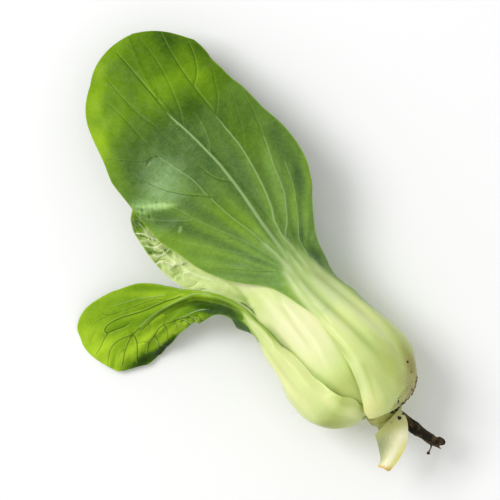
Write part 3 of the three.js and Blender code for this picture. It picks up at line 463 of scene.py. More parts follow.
LEAF_MIDDLE = {
    "slot": "inner_leaf",
    "petiole": (-17, 2.8, 2, 8),
    "blade": [
        [-8.5, 62, 39.8, -0.25, 0, 1], [-10.5, 72, 36.6, -0.2, 0, 1], [-13.5, 84, 32.5, -0.15, 0, 1],
        [-16.5, 98, 30.5, -0.1, 0, 1], [-18.5, 114, 29, 0, 0, 1], [-18.5, 132, 27.5, 0, 0, 1],
        [-17, 149, 25, 0, 0, 1], [-15.5, 162, 22, 0, 0, 1], [-14.5, 171, 19.5, 0, 0, 1],
    ],
    "width": [
        [0, 7, 7], [16, 13, 12], [36, 16, 12.5], [55, 17.5, 12.5], [68, 17, 10], [78, 14.5, 9], [90, 17, 13],
        [98, 20.2, 17], [108, 24.8, 21], [124, 28, 24], [136, 28, 24], [142, 26.5, 23], [147, 22, 22],
        [164, 18, 19], [178, 14, 15],
    ],
    "curl": [
        [0, 20, 20], [16, 46, 58], [36, 50, 64], [60, 44, 58], [86, 22, 32], [126, 12, 18], [186, 14, 20],
    ],
    "flesh": [
        [0, 8, 4, 0, 0], [22, 13, 4.6, 0, 0.1], [50, 13, 4.6, 0, 0.2], [70, 10, 3.6, 0.2, 0.2],
        [86, 6, 2, 0.6, 0], [106, 3, 0.4, 1.1, 0], [146, 1.6, 0, 0.7, 0], [186, 0.9, 0, 0.3, 0],
    ],
    "wave": (1, 32, 0.3, 5.3),
    "stalk": [
        [0, -30, 30], [66, -30, 30], [80, -12, 12], [92, -8, 8], [106, -3, 4], [124, -1, 2], [150, 2, -2],
        [180, 2, -2],
    ],
    "tone": [
        [0, 0.3, 0], [18, 0.24, 0], [27, 0.2, 0], [33, 0.42, 0], [40, 0.68, 0], [50, 0.86, 0], [64, 0.94, 0],
        [74, 0.76, 0], [84, 0.78, 0], [92, 0.86, 0], [106, 0.9, 0.02], [121, 0.8, 0.04], [130, 0.76, 0.04],
        [137, 0.56, 0.02], [146, 0.4, 0], [180, 0.4, 0],
    ],
    "washes": MIDDLE_WASHES,
    "streaks": MIDDLE_STREAKS,
    "veins": MIDDLE_VEINS,
    "depth": 1.9,
    "crinkles": (8, [[-41, 113, 15, 6, 102]]),
}

# The outer leaf that the plant lies on.
LEAF_BACK = {
    "slot": "outer_leaf",
    "petiole": (172, 0, 1, 9),
    "blade": [
        [1.5, 68, 8.6, 0, 0, -1], [1.5, 82, 9.2, 0, 0, -1], [1.5, 97, 8.2, 0, 0, -1], [1, 114, 6, 0, 0, -1],
        [0, 131, 3.2, 0, 0, -1], [-0.5, 146, 0.8, 0, 0, -1], [-0.5, 157, 0, 0, 0, -1],
    ],
    "width": [
        [0, 7, 7], [14, 17, 17], [36, 29, 29], [60, 21, 21], [75, 13, 13], [88, 12, 12], [102, 20, 20],
        [120, 26, 26], [140, 27, 27], [160, 24, 24], [178, 18, 18],
    ],
    "curl": [[0, 20, 20], [36, 56, 56], [60, 56, 56], [84, 36, 36], [110, 18, 20], [180, 12, 16]],
    "flesh": [
        [0, 9, 4.5, 0, 0], [20, 24, 6.2, 0, 0.15], [45, 26, 6.4, 0, 0.3], [75, 14, 4.4, 0.2, 0.3],
        [90, 8, 2.4, 0.5, 0.1], [110, 3.6, 0.4, 1.1, 0], [150, 1.8, 0, 0.7, 0], [180, 0.9, 0, 0.3, 0],
    ],
    "wave": (0.8, 36, 0.2, 1.4),
}

# The leaves that close the sides of the bulb.
LEAF_INNER_RIGHT = {
    "slot": "inner_leaf",
    "petiole": (100, 8, 0, 8),
    "blade": [
        [16, 64, 22.5, 1, 0, -0.1], [14, 75, 22.5, 1, 0, -0.2], [14, 88, 21.5, 1, 0, -0.2],
        [16, 102, 20, 1, 0, -0.2], [17.5, 115, 18, 1, 0, -0.1], [17.5, 124, 16, 1, 0, -0.1],
    ],
    "width": [
        [0, 6, 6], [14, 11, 11], [32, 12.5, 12.5], [50, 10, 10], [66, 7, 7], [78, 9, 9], [94, 12, 12],
        [110, 13, 12], [126, 11, 10], [140, 8, 8],
    ],
    "curl": [[0, 20, 20], [32, 42, 42], [60, 44, 44], [90, 46, 46], [140, 36, 36]],
    "flesh": [
        [0, 7, 3.6, 0, 0], [20, 13, 4.4, 0, 0.1], [45, 13, 4.2, 0, 0.2], [66, 7, 2.6, 0.2, 0.1],
        [84, 3.5, 0.6, 0.9, 0], [110, 1.8, 0, 0.7, 0], [140, 0.9, 0, 0.3, 0],
    ],
    "wave": (0.7, 28, 0.8, 1.9),
}
LEAF_INNER_LEFT = {
    **LEAF_INNER_RIGHT,
    "petiole": (-118, 9, 0, 8),
    "blade": [
        [-13.5, 64, 18.5, -0.9, 0, -0.4], [-11.5, 75, 19.5, -0.9, 0, -0.4], [-11.5, 88, 19, -0.9, 0, -0.4],
        [-13, 101, 17.5, -0.9, 0, -0.4], [-14.5, 113, 15.5, -0.9, 0, -0.3], [-15, 121, 14, -0.9, 0, -0.3],
    ],
    "wave": (0.7, 25, 2.1, 0.4),
}

# The small leaves at the heart.
HEART_LEAF_UPPER = {
    "slot": "inner_leaf",
    "petiole": (40, 15, 0, 8),
    "blade": [
        [4.5, 62, 29, 0.4, 0, 0.9], [3, 72, 28.5, 0.3, 0, 0.95], [1.5, 82, 27.5, 0.2, 0, 1],
        [0.5, 92, 26, 0.1, 0, 1], [0, 100, 24.5, 0, 0, 1],
    ],
    "width": [
        [0, 4, 4], [14, 7, 7], [32, 8, 8], [50, 6, 6], [62, 5, 5], [76, 9, 9], [90, 11, 11], [102, 9, 9],
        [116, 6, 6],
    ],
    "curl": [[0, 20, 20], [32, 40, 40], [60, 44, 44], [90, 44, 44], [116, 30, 30]],
    "flesh": [
        [0, 5, 2.6, 0, 0], [20, 8, 3, 0, 0], [45, 8, 2.8, 0, 0], [62, 4.5, 1.8, 0.2, 0],
        [80, 2, 0.2, 0.7, 0], [116, 0.8, 0, 0.3, 0],
    ],
    "wave": (0.5, 20, 0.5, 1.5),
}
HEART_LEAF_LOWER = {
    **HEART_LEAF_UPPER,
    "petiole": (205, 15, 0, 8),
    "blade": [
        [-2.5, 60, 19.5, -0.4, 0, -0.9], [-2, 68, 20, -0.3, 0, -0.95], [-1.5, 76, 20, -0.2, 0, -1],
        [-1, 84, 19, -0.1, 0, -1],
    ],
    "wave": (0.5, 18, 1.2, 0.2),
}

# All the leaves, in the order of their seeds.
LEAVES = {
    "leaf_right": LEAF_RIGHT, "leaf_back": LEAF_BACK, "leaf_left": LEAF_LEFT, "leaf_middle": LEAF_MIDDLE,
    "leaf_inner_right": LEAF_INNER_RIGHT, "leaf_inner_left": LEAF_INNER_LEFT,
    "heart_leaf_upper": HEART_LEAF_UPPER, "heart_leaf_lower": HEART_LEAF_LOWER,
}
# The leaves that show, each with its flesh, how fine its mesh is, and its looks.
SHOWN_LEAVES = (
    ("leaf_right", "outer_leaf_flesh", 1, {"yellow": 0.5}),
    ("leaf_left", "bent_leaf_flesh", 0.84, {
        "pale": 0.035, "gloss": 0.36, "netting": 0.03, "yellow": 0.3, "lighting": 0.36,
    }),
    ("leaf_middle", "inner_leaf_flesh", 1, {"pale": 1.0, "netting": 0.1}),
)
HIDDEN_LEAVES = ("leaf_back", "leaf_inner_right", "leaf_inner_left", "heart_leaf_upper", "heart_leaf_lower")

# ---- The form of the other pieces ---------------------------------------------------------
# Half the stem base's outline, [radius, distance from the bulb's root end].
STEM_PROFILE = [
    [3.5, -4.2], [6.4, -3.6], [6.3, -2.2], [8, 0], [8.3, 1.6], [8, 5], [6.8, 8.5], [4.5, 11.5], [1.2, 12.9],
]
STEM_SIDES, STEM_RINGS = 96, 60

# The root's limbs, as rows [x, y, z, radius].
TAPROOT = [
    [5.5, -1, 24.2, 3], [7.8, -3.5, 23.9, 2.6], [9.2, -7.5, 23.3, 2.6], [10.3, -11.5, 22.7, 3],
    [12.2, -16, 21.7, 2.4], [13.8, -20, 20.7, 2.5], [14.6, -22.6, 20.1, 1.4],
]
KNOB = [[14.6, -20.6, 20.7, 1.3], [16.4, -22.4, 20.3, 2], [17.4, -23.8, 20, 1.5], [17.9, -24.6, 19.8, 0.7]]
ROOTLET = [
    [13, -20.8, 20.7, 0.8], [11.6, -22.7, 20.7, 0.5], [9.9, -23.7, 20.8, 0.5], [9.3, -24, 20.8, 0.95],
    [8.5, -24.3, 20.8, 0.5],
]
SPIKE = [[13.6, -21.5, 20.3, 1.2], [14.4, -24, 19.9, 0.7], [15, -25.7, 19.7, 0.25]]
LIMB_POINTS = 12  # points on a limb's path for each of its rows
LIMB_ROUNDNESS = 8  # bevel resolution of its outline
LIMB_SHARE = 0.97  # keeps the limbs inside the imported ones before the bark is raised
ROOT_VOXEL = 0.28  # size of the mesh that joins the limbs
ROUGH_ANGLE = 60  # least angle of an edge that stays sharp on bark and soil
BARK_FISSURE, BARK_GRAIN, BARK_SINK = 0.22, 0.1, 0.1  # heights of the bark's relief, and its level
FISSURES_ACROSS, FISSURES_ALONG, BARK_GRAINS = 900, 260, 2000  # to a metre

# The snapped stalk: its two edges from the stem base to the torn end, [x, y], then lists keyed by
# the share of its length.
STUB_LEFT_EDGE = [[-6, -4.2], [-7, -7.5], [-8.3, -11.2], [-10, -14.8], [-12.6, -16.8]]
STUB_RIGHT_EDGE = [[9.3, -0.4], [9.6, -5.5], [7, -11], [3.4, -15.2], [-3.6, -19.4], [-9.8, -21.5]]
STUB_HEIGHT = [[0, 31.4], [0.25, 31.6], [0.6, 29.5], [1, 26.5]]
STUB_THICKNESS = [[0, 2.2], [0.6, 2], [1, 1.6]]
STUB_CROWN = 2.6  # how far its middle stands over its edges
STUB_ROWS, STUB_COLUMNS = 90, 60
STUB_SEED, SOIL_SEED = 40, 60  # added to the seed for these pieces' own draws
TORN_START = 0.9  # share of the stalk's length where the torn end begins
TORN_PULL = 0.25  # how far its fibres are pulled out or torn short
TORN_SHORT = 1.2  # shortens it on the whole
STUB_WIDTH, STUB_LENGTH = 9, 20
FIBRE_RELIEF, FIBRE_PITCH = 0.12, 3.5  # height and width of the fibres on its face

# Specks of soil, [x, y, radius], and the rest of them along the rim of the leaf's base.
SOIL = [
    [23.5, 15, 0.62], [22.5, 10.4, 0.36], [22.6, 5.6, 0.8], [21.6, 5.4, 0.6], [18.5, 3.9, 0.5],
    [10.7, 2.9, 0.5], [10.3, 2.2, 0.4], [11.4, 3.9, 0.3], [12.4, 4.1, 0.25], [8.6, 2.6, 0.25],
    [9.2, 0.4, 0.9], [8.3, 0.1, 0.9], [7.6, -0.1, 0.6], [5.9, 0, 0.7], [5.2, 0.2, 0.4], [11.4, 1, 0.6],
    [7, -3.8, 0.9], [9.3, -3.2, 0.5], [3.2, -3.6, 0.2], [26.2, 15, 0.2],
]
SOIL_EDGE = (10.2, 23.4, 46)  # first and last x, and the count
SPECK_SIZES = [0.14, 0.2, 0.3, 0.4, 0.52]
SPECK_JITTER, SPECK_RISE = (-0.4, 0.4), (0.1, 0.7)  # across, and up from the rim
RIM_SLOPE, RIM_FOOT, RIM_STEP, RIM_TOP = 0.3, -5, 0.1, 12  # where the search for the rim runs
SPECK_LUMPS, LUMP_COUNT, SPECK_FLATNESS = 0.45, 1.4, 0.5  # lumps' height, lumps to a radius, height
OVERHEAD = 100  # height from which a ray looks down at the pieces

# ---- The studio ---------------------------------------------------------------------------
# In metres, and the lights' places from the middle of the view.
VIEW_MIDDLE = (-0.0076, 0.067)
LIT_HEIGHT, FOCUS_HEIGHT = 0.02, 0.026  # heights that the lights and the camera are aimed at
KEY_PLACE, KEY_SIZE = (-0.84, 1.24, 1.9), 1.2
TOP_PLACE, TOP_SIZE, TOP_SHARE = (0, 0, 2.6), 1.6, 0.14  # its power is a share of the key light's
SENSOR_WIDTH = 36  # of the camera, in millimetres


# ---- Settings -----------------------------------------------------------------------------
def number_setting(name, description, default, measure="NONE"):
    """An amount that the user can change."""
    return bpy.props.FloatProperty(name=name, description=description, default=default, unit=measure)


def length_setting(name, description, default):
    """A size in metres that the user can change."""
    return number_setting(name, description, default, "LENGTH")


def colour_setting(name, description, default):
    """A colour that the user can change."""
    return bpy.props.FloatVectorProperty(
        name=name, description=description, default=default, subtype="COLOR", size=3,
    )


class FormSettings(bpy.types.PropertyGroup):
    """Sizes of the plant and of its fine detail."""

    axis_height: length_setting("Axis height", "Height of the plant's axis over the surface", 0.025)
    rest_distance: length_setting("Rest distance", "From the bulb's root end to its resting flat", 0.027)
    bulb_flatness: number_setting("Bulb flatness", "Height of the bulb over its width", 0.88)
    mesh_spacing: length_setting("Mesh spacing", "Width of a face on the leaves that show", 0.0006)
    hidden_spacing: length_setting("Hidden mesh spacing", "Width of a face on the leaves inside", 0.0011)
    vein_relief: length_setting("Vein relief", "Height of a vein whose relief is 1", 0.0009)
    puff: length_setting("Puff", "How far the blade swells between its veins", 0.00025)
    seed: bpy.props.IntProperty(name="Seed", description="Start of every random draw", default=7)


class ColourSettings(bpy.types.PropertyGroup):
    """Base colours of the finishes, in linear light."""

    stalk_olive: colour_setting("Shaded stalk", "Stalk low on the bulb", (0.44, 0.51, 0.12))
    stalk_green: colour_setting("Green stalk", "Stalk in general", (0.64, 0.75, 0.27))
    stalk_cream: colour_setting("Cream stalk", "Stalk where the sun never reached", (0.86, 0.86, 0.5))
    blade_deep: colour_setting("Deep blade", "Darkest part of a blade", (0.046, 0.11, 0.005))
    blade_green: colour_setting("Green blade", "Middle tone of a blade", (0.15, 0.285, 0.006))
    blade_bright: colour_setting("Bright blade", "Thin, lit part of a blade", (0.42, 0.64, 0.016))
    # The bloom colour also paints the soft sheen that the light leaves on the blades.
    bloom: colour_setting("Waxy bloom", "Haze of wax on the outer faces", (0.39, 0.6, 0.36))
    vein: colour_setting("Vein", "Pale vein", (0.37, 0.53, 0.22))
    bark: colour_setting("Bark", "Dark bark of the taproot", (0.014, 0.009, 0.005))
    bark_worn: colour_setting("Worn bark", "Rubbed bark of the taproot", (0.13, 0.085, 0.036))
    crown: colour_setting("Stem base", "Green of the stem base", (0.4, 0.42, 0.1))
    torn: colour_setting("Torn end", "Dried torn end of the snapped stalk", (0.68, 0.42, 0.08))
    soil: colour_setting("Soil", "Specks of wet soil", (0.012, 0.009, 0.006))


class StudioSettings(bpy.types.PropertyGroup):
    """The floor, the lights and the camera."""

    floor_size: length_setting("Floor size", "Side of the floor", 6.0)
    floor_colour: colour_setting("Floor colour", "Pale floor", (0.95, 0.95, 0.95))
    room_light: number_setting("Room light", "Even light from all sides", 0.6)
    key_light: number_setting("Key light", "Soft box beyond the leaf tips", 33.0, "POWER")
    lens: number_setting("Lens", "Focal length of the camera", 600.0, "CAMERA")
    frame_width: length_setting("Frame width", "Width that the view takes in", 0.22038)
    camera_turn: number_setting("Camera turn", "About the vertical", math.radians(-33.13), "ROTATION")


# ---- Curves and fields --------------------------------------------------------------------
def cubic(first, last, first_slope, last_slope, span, x):
    """Smooth values at the shares x of a span, from the value and slope at each of its ends."""
    start = first * (2 * x**3 - 3 * x**2 + 1) + first_slope * span * (x**3 - 2 * x**2 + x)
    end = last * (3 * x**2 - 2 * x**3) + last_slope * span * (x**3 - x**2)
    return start + end


def track(keys):
    """Smooth values between the rows [position, value, ...] of a list, without overshoot."""
    table = np.array(keys, float)
    position, values = table[:, 0], table[:, 1:]
    span = np.diff(position)[:, None]
    slope = np.diff(values, axis=0) / span
    before, after = slope[:-1], slope[1:]
    total = np.where(before + after == 0, 1, before + after)
    inner = np.where(before * after > 0, 2 * before * after / total, 0)
    tangent = np.vstack([slope[:1], inner, slope[-1:]])

    def at(where):
        where = np.clip(np.asarray(where, float), position[0], position[-1])
        i = np.clip(np.searchsorted(position, where, side="left") - 1, 0, len(span) - 1)
        x = (where - position[i])[..., None] / span[i]
        return cubic(values[i], values[i + 1], tangent[i], tangent[i + 1], span[i], x)

    return at


def knot_directions(points):
    """Direction of the smooth curve through points, at each of them."""
    points = np.array(points, float)
    padded = np.vstack([2 * points[0] - points[1], points, 2 * points[-1] - points[-2]])
    step = np.diff(padded, axis=0)
    share = np.sqrt(np.linalg.norm(step, axis=1))[:, None]
    before, after = share[:-1], share[1:]
    direction = step[:-1] / before - (step[:-1] + step[1:]) / (before + after) + step[1:] / after
    return direction / np.linalg.norm(direction, axis=1)[:, None]


def smooth_path(points, count):
    """count points, evenly shared out, on the smooth curve through the given ones."""
    points = np.array(points, float)
    span = np.linalg.norm(np.diff(points[:, :2], axis=0), axis=1)
    reach = np.concatenate([[0], np.cumsum(span)])
    tangent = knot_directions(points)
    where = np.linspace(0, reach[-1], count)
    i = np.clip(np.searchsorted(reach, where, side="right") - 1, 0, len(span) - 1)
    x = ((where - reach[i]) / span[i])[:, None]
    return cubic(points[i], points[i + 1], tangent[i], tangent[i + 1], span[i][:, None], x)


def smoothstep(value, low, high):
    """0 below low, 1 above high and a smooth rise between them."""
    x = np.clip((value - low) / (high - low), 0, 1)
    return x * x * (3 - 2 * x)


def unit(vectors):
    """Vectors of length 1 with the same directions."""
    return vectors / np.linalg.norm(vectors, axis=-1, keepdims=True)


def undulation(x, y, wavelength, draws, waves=9):
    """A smooth random field of about -1 to 1 whose swells are one wavelength apart."""
    total = np.zeros_like(x)
    for _ in range(waves):
        angle, phase = draws.uniform(0, math.tau, 2)
        pitch = wavelength * draws.uniform(*PITCH_SPREAD)
        total += np.sin(math.tau * (x * math.cos(angle) + y * math.sin(angle)) / pitch + phase)
    return total / math.sqrt(waves)


def pleats(x, y, fan, draws, folds=5):
    """Folds that spread over the blade from the neck, of about -1 to 1."""
    angle = np.arctan2(x - fan[0], y - fan[1])
    reach = np.hypot(x - fan[0], y - fan[1])
    total = sum(
        np.sin(draws.uniform(*FOLD_RATES) * angle + draws.uniform(0, math.tau)) for _ in range(folds)
    )
    return total * 0.5 * smoothstep(reach, *FOLD_START) * (1 - smoothstep(reach, *FOLD_END))


def patch(x, y, wash):
    """Soft-edged share of a wash at each place."""
    wash_x, wash_y, half_length, half_width, turn = wash[:5]
    cosine, sine = math.cos(math.radians(turn)), math.sin(math.radians(turn))
    along = ((x - wash_x) * cosine + (y - wash_y) * sine) / half_length
    off = ((y - wash_y) * cosine - (x - wash_x) * sine) / half_width
    return np.exp(-((along**2 + off**2) ** PATCH_EDGE))


def covered(x, y, places):
    """Share of each place that a few patches cover together, at most 1."""
    return np.minimum(1, sum(patch(x, y, place) for place in places))


def nearest_on(path, spots):
    """For each spot its distance to a path, with a sign for the side, and how far along it lies."""
    best = np.full(len(spots), FAR)
    best_side = np.full(len(spots), FAR)
    best_share = np.zeros(len(spots))
    for k in range(len(path) - 1):
        start, step = path[k], path[k + 1] - path[k]
        share = np.clip((spots - start) @ step / (step @ step), 0, 1)
        gap = spots - start - share[:, None] * step
        distance = np.hypot(gap[:, 0], gap[:, 1])
        closer = distance < best
        best[closer] = distance[closer]
        turned = step[0] * gap[:, 1] - step[1] * gap[:, 0]
        best_side[closer] = (np.sign(turned) * distance)[closer]
        best_share[closer] = ((k + share) / (len(path) - 1))[closer]
    return best, best_side, best_share


def vein_field(x, y, veins):
    """How each place lies to the drawn lines.

    Returns the signed and plain distance to the nearest line, that line's half-width and tint
    there, and the summed relief and soft tint of all the lines.
    """
    places = np.stack([x.ravel(), y.ravel()], 1)
    near = np.full(len(places), FAR)
    side = np.full(len(places), FAR)
    width = np.full(len(places), VEIN_DEFAULT)
    tint = np.zeros(len(places))
    relief = np.zeros(len(places))
    soft_tint = np.zeros(len(places))
    for vein_tint, first_width, last_width, rise, bends in veins:
        path = smooth_path(bends, VEIN_POINTS * len(bends))
        low, high = path.min(0) - VEIN_REACH, path.max(0) + VEIN_REACH
        inside = np.where(np.all((places > low) & (places < high), axis=1))[0]
        best, best_side, share = nearest_on(path, places[inside])
        half = first_width + (last_width - first_width) * share
        ends = smoothstep(share, 0, VEIN_FULL) * (1 - smoothstep(share, VEIN_FADES, 1))
        bell = np.exp(-((best / (VEIN_FOOT + half)) ** 2))
        relief[inside] += rise * (0.3 + 0.7 * ends) * bell * np.sqrt(half)
        soft_tint[inside] += vein_tint * ends * bell
        wins = best - half < near[inside] - width[inside]
        chosen = inside[wins]
        near[chosen] = best[wins]
        side[chosen] = best_side[wins]
        width[chosen] = half[wins]
        tint[chosen] = vein_tint
    return [field.reshape(x.shape) for field in (side, near, width, tint, relief, soft_tint)]


def generic_veins(form):
    """A midrib and paired side veins for a leaf inside the head, on its own face."""
    length = form["length"]
    veins = [[1, 1.1, 0.35, 0.4, [(0, 0.36 * length), (0, 0.7 * length), (0, 0.97 * length)]]]
    blade_start, spacing, pairs = 0.52 * length, 0.085, 5
    for k in range(pairs):
        start = blade_start + k * spacing * length
        reach = form["width"](start + 0.12 * length)
        for side, half in ((-1, reach[0]), (1, reach[1])):
            bends = [
                (0.1 * side, start), (0.45 * side * half, start + 0.075 * length),
                (0.9 * side * half, start + 0.19 * length),
            ]
            veins.append([0.7, 0.55, 0.25, 0.4, bends])
    return veins


# ---- The form of a leaf -------------------------------------------------------------------
def petiole_rows(petiole, settings):
    """Spine rows up the bulb, at an azimuth that turns from +z towards +x."""
    azimuth, inset, lift, count = petiole
    turn = math.radians(azimuth)
    rows = []
    for (radius, distance), along in list(zip(BULB_PROFILE, knot_directions(BULB_PROFILE)))[:count]:
        radius = radius - along[1] * inset
        distance = distance + along[0] * inset + lift
        shift = ROOT_SHIFT * math.exp(-max(distance, 0) / SHIFT_FADE)
        rows.append([
            shift + radius * math.sin(turn),
            distance,
            settings.axis_height / MM + radius * math.cos(turn) * settings.bulb_flatness,
            along[1] * math.sin(turn),
            -along[0],
            along[1] * math.cos(turn),
        ])
    return rows


def leaf_form(leaf, settings):
    """The tracks of one leaf, and the length of its spine."""
    rows = np.array(petiole_rows(leaf["petiole"], settings) + leaf["blade"])
    steps = np.linalg.norm(np.diff(rows[:, :3], axis=0), axis=1)
    distance = np.concatenate([[0], np.cumsum(steps)])
    form = {name: track(leaf[name]) for name in ("width", "curl", "flesh")}
    form["channel"] = track(leaf.get("channel", [[0, 0], [1, 0]]))
    form["spine"] = track(np.column_stack([distance, rows]))
    form["length"] = distance[-1]
    return form


def leaf_face(form, leaf, t, s, extra):
    """Places on the outer and the inner face for the rows t and columns s, in mm.

    extra is how far the face is pushed outwards at each place. The columns' places across the
    face, its width there and the rows' distances are given too.
    """
    length = form["length"]
    distance = t * length
    spine = form["spine"](distance)
    ahead = form["spine"](np.minimum(distance + 0.5, length))[:, :3]
    behind = form["spine"](np.maximum(distance - 0.5, 0))[:, :3]
    forward = unit(ahead - behind)
    outward = spine[:, 3:]
    outward = unit(outward - forward * np.sum(outward * forward, axis=1, keepdims=True))
    right = np.cross(forward, outward)

    half = (s >= 0).astype(int)
    tip_share = np.maximum(0, (t - TIP_START) / (1 - TIP_START))
    rounding = np.sqrt(np.maximum(1 - tip_share**TIP_ROUNDNESS, BLUNT_TIP))
    reach = form["width"](distance)[:, half] * rounding[:, None]
    across = s * reach
    bend = np.radians(form["curl"](distance)[:, half] + LEAST_CURL) / reach
    angle = across * bend
    sine, cosine = np.sin(angle)[..., None], np.cos(angle)[..., None]
    up, side = outward[:, None], right[:, None]
    normal = up * cosine + side * sine

    flesh_half, flesh_depth, rib, ridge = (form["flesh"](distance)[:, i, None] for i in range(4))
    crown = np.maximum(0, 1 - (across / flesh_half) ** 2) ** CROWN_POWER
    ridges = ridge * crown * np.cos(across / flesh_half * RIDGE_COUNT * math.pi)
    hollow = form["channel"](distance) * np.sin(math.pi * np.clip(-across / CHANNEL_WIDTH, 0, 1))
    size, pitch, left_phase, right_phase = leaf["wave"]
    phase = np.where(s < 0, left_phase, right_phase)
    run = math.tau * distance[:, None] / pitch
    grown = smoothstep(t, WAVE_START, WAVE_FULL)[:, None]
    wave = size * grown * (np.sin(run + phase) + MINOR_WAVE * np.sin(MINOR_PITCH * run + 2 * phase)) * s * s
    on_arc = spine[:, None, :3] + (side * sine + up * (cosine - 1)) / bend[..., None]
    outside = rib * crown + ridges - hollow + wave + extra
    inside = -EDGE - flesh_depth * crown - hollow + wave + extra
    faces = [on_arc + normal * offset[..., None] for offset in (outside, inside)]
    return faces, across, reach, np.broadcast_to(distance[:, None], across.shape)


def own_or_shared(leaf, entry, shared, length):
    """The track of one of the leaf's lists, or of the list that the hidden leaves share."""
    return track(leaf.get(entry, [[share * length, *values] for share, *values in shared]))


def drawn_veins(leaf, form, x, y, across, distance):
    """The signed and plain distance to the nearest vein, its half-width, its tint, and the relief."""
    if "veins" in leaf:
        side, near, width, tint, relief, _ = vein_field(x, y, leaf["veins"])
    else:
        side, near, width, tint, relief, _ = vein_field(across, distance, generic_veins(form))
    if "vein_fades" in leaf:
        faded = smoothstep(y + FADE_SLOPE * np.abs(x - FADE_MIDDLE), *leaf["vein_fades"])
        tint = np.where(tint > 0, tint * (1 - 1.8 * faded), tint)
        relief = np.where(relief > 0, relief * (1 - 1.6 * faded), relief)
    return side, near, width, tint, relief


def stalk_share(leaf, form, across, distance):
    """How much of each place is pale stalk."""
    edges = own_or_shared(leaf, "stalk", HIDDEN_STALK, form["length"])(distance)
    softness = leaf.get("softness", STALK_SOFTNESS)
    left, right = (smoothstep(across, edges[..., i] - softness, edges[..., i] + softness) for i in range(2))
    low, high, share = leaf.get("stalk_fades", (0, 1, 0))
    return left * (1 - right) * (1 - share * smoothstep(distance, low, high))


def tone_bloom_and_sheen(leaf, form, x, y, distance):
    """The leaf's lists of tone and of waxy bloom with its painted sheen, with its washes laid over them."""
    values = own_or_shared(leaf, "tone", HIDDEN_TONE, form["length"])(distance)
    tone, bloom = values[..., 0], values[..., 1]
    for wash in leaf.get("washes", []):
        share = patch(x, y, wash)
        tone = tone + wash[5] * share
        bloom = bloom + wash[6] * share
    return tone, bloom


def crinkles(leaf, x, y, grown, draws):
    """What crinkled patches add to the tone, as painted light on their sharp walls and painted shade on
    their soft swells, and to the relief.
    """
    pitch, places = leaf["crinkles"]
    walls = np.exp(-((undulation(x * CRINKLE_STRETCH, y, pitch, draws) / CRINKLE_WALL) ** 2))
    area = covered(x, y, places) * grown
    swelling = area * undulation(x, y, CRINKLE_SWELL, draws)
    return area * (0.3 * walls - 0.15 + 0.2 * swelling), area * (0.5 * walls + 0.55 * swelling)


def rolled_margin(leaf, distance, s):
    """How far a rolled margin is sunk."""
    side, low, high, depth = leaf.get("rolled", (1, 0, 0, 0))
    starts = smoothstep(distance, low - ROLL_GROWS, low)
    along = starts * (1 - smoothstep(distance, high - ROLL_ENDS, high))
    return depth * along * smoothstep(side * s, ROLL_START, 1)


def leaf_fields(name, leaf, form, settings, t, s):
    """The faces of a leaf with its relief, and what its finish reads at each place."""
    draws = np.random.default_rng(settings.seed + list(LEAVES).index(name))
    flat = np.zeros((len(t), len(s)))
    faces, across, reach, distance = leaf_face(form, leaf, t, s, flat)
    x, y = faces[0][..., 0], faces[0][..., 1]
    side, near, width, tint, relief = drawn_veins(leaf, form, x, y, across, distance)
    ribbing, streak = vein_field(x, y, leaf.get("streaks", []))[4:]
    blade = 1 - stalk_share(leaf, form, across, distance)
    margin = np.minimum((1 - np.abs(s)) * reach, (1 - t)[:, None] * form["length"])
    tone, bloom = tone_bloom_and_sheen(leaf, form, x, y, distance)

    # Folds, crinkles, swells and scales, which colour the blade as well as shaping it; the colour of the
    # folds and crinkles is painted light and shade.
    grown = smoothstep(blade, 0.3, 0.9)
    fold = pleats(x, y, leaf["fan"], draws) * grown if "fan" in leaf else flat
    crinkle_tone, crinkle = crinkles(leaf, x, y, grown, draws) if "crinkles" in leaf else (flat, flat)
    tone = tone + FOLD_LIGHT_AND_SHADE * fold + crinkle_tone
    swells = SWELL_HEIGHT * grown * undulation(across, distance, SWELL_PITCH, draws)
    rough = ROUGH_HEIGHT * leaf.get("fine", 1) * grown * undulation(across, distance, ROUGH_PITCH, draws)
    if "scaly" in leaf:
        scaly = covered(x, y, leaf["scaly"])
        scales = undulation(x, y, SCALE_PITCH, draws)
        tone = tone + scaly * (0.2 + 0.26 * scales)
        bloom = bloom + scaly * (0.05 + 0.08 * scales)
        rough = rough + SCALE_HEIGHT * scaly * scales

    # The relief dies away at the margin, and the blade is puffed between veins that stand out.
    relief = relief * leaf.get("depth", 1) * settings.vein_relief / MM * (0.35 + 0.65 * grown)
    puff = settings.puff / MM * grown * (np.exp(-((near / PUFF_REACH) ** 2)) * -1.0)
    if relief.max() <= -relief.min():
        puff = -puff
    swell = swells + FOLD_HEIGHT * fold + crinkle
    extra = (relief + puff * 0.5 + swell + rough) * smoothstep(margin, 0, MARGIN_REACH)
    extra = RIBBING * ribbing + extra - rolled_margin(leaf, distance, s)
    extra = extra - BASE_TUCK * (1 - smoothstep(distance, 0, BASE_TUCK_REACH))
    dirt = flat + sum(patch(x, y, place) * place[5] for place in leaf.get("dirt", []))
    faces = leaf_face(form, leaf, t, s, extra)[0]
    fields = {
        "vein_side": side, "vein_near": near, "vein_width": width * 0.8, "vein_tint": tint, "blade": blade,
        "margin": margin, "streak": streak, "tone": tone, "bloom": np.clip(bloom, 0, 1), "dirt": dirt,
    }
    return faces, fields, across, distance


# ---- Making meshes ------------------------------------------------------------------------
def deselect_all():
    """Leaves edit mode and selects nothing."""
    if bpy.context.object and bpy.context.object.mode != "OBJECT":
        bpy.ops.object.mode_set(mode="OBJECT")
    bpy.ops.object.select_all(action="DESELECT")


def select(*pieces):
    """Selects these pieces alone, the first of them active."""
    deselect_all()
    for piece in pieces:
        piece.select_set(True)
    bpy.context.view_layer.objects.active = pieces[0]


def edit_all():
    """Opens the active piece in edit mode with all of it selected."""
    bpy.ops.object.mode_set(mode="EDIT")
    bpy.ops.mesh.select_all(action="SELECT")


def join(pieces, name):
    """Joins pieces into one of this name."""
    select(*pieces)
    bpy.ops.object.join()
    piece = bpy.context.object
    piece.name = name
    piece.data.name = name
    return piece


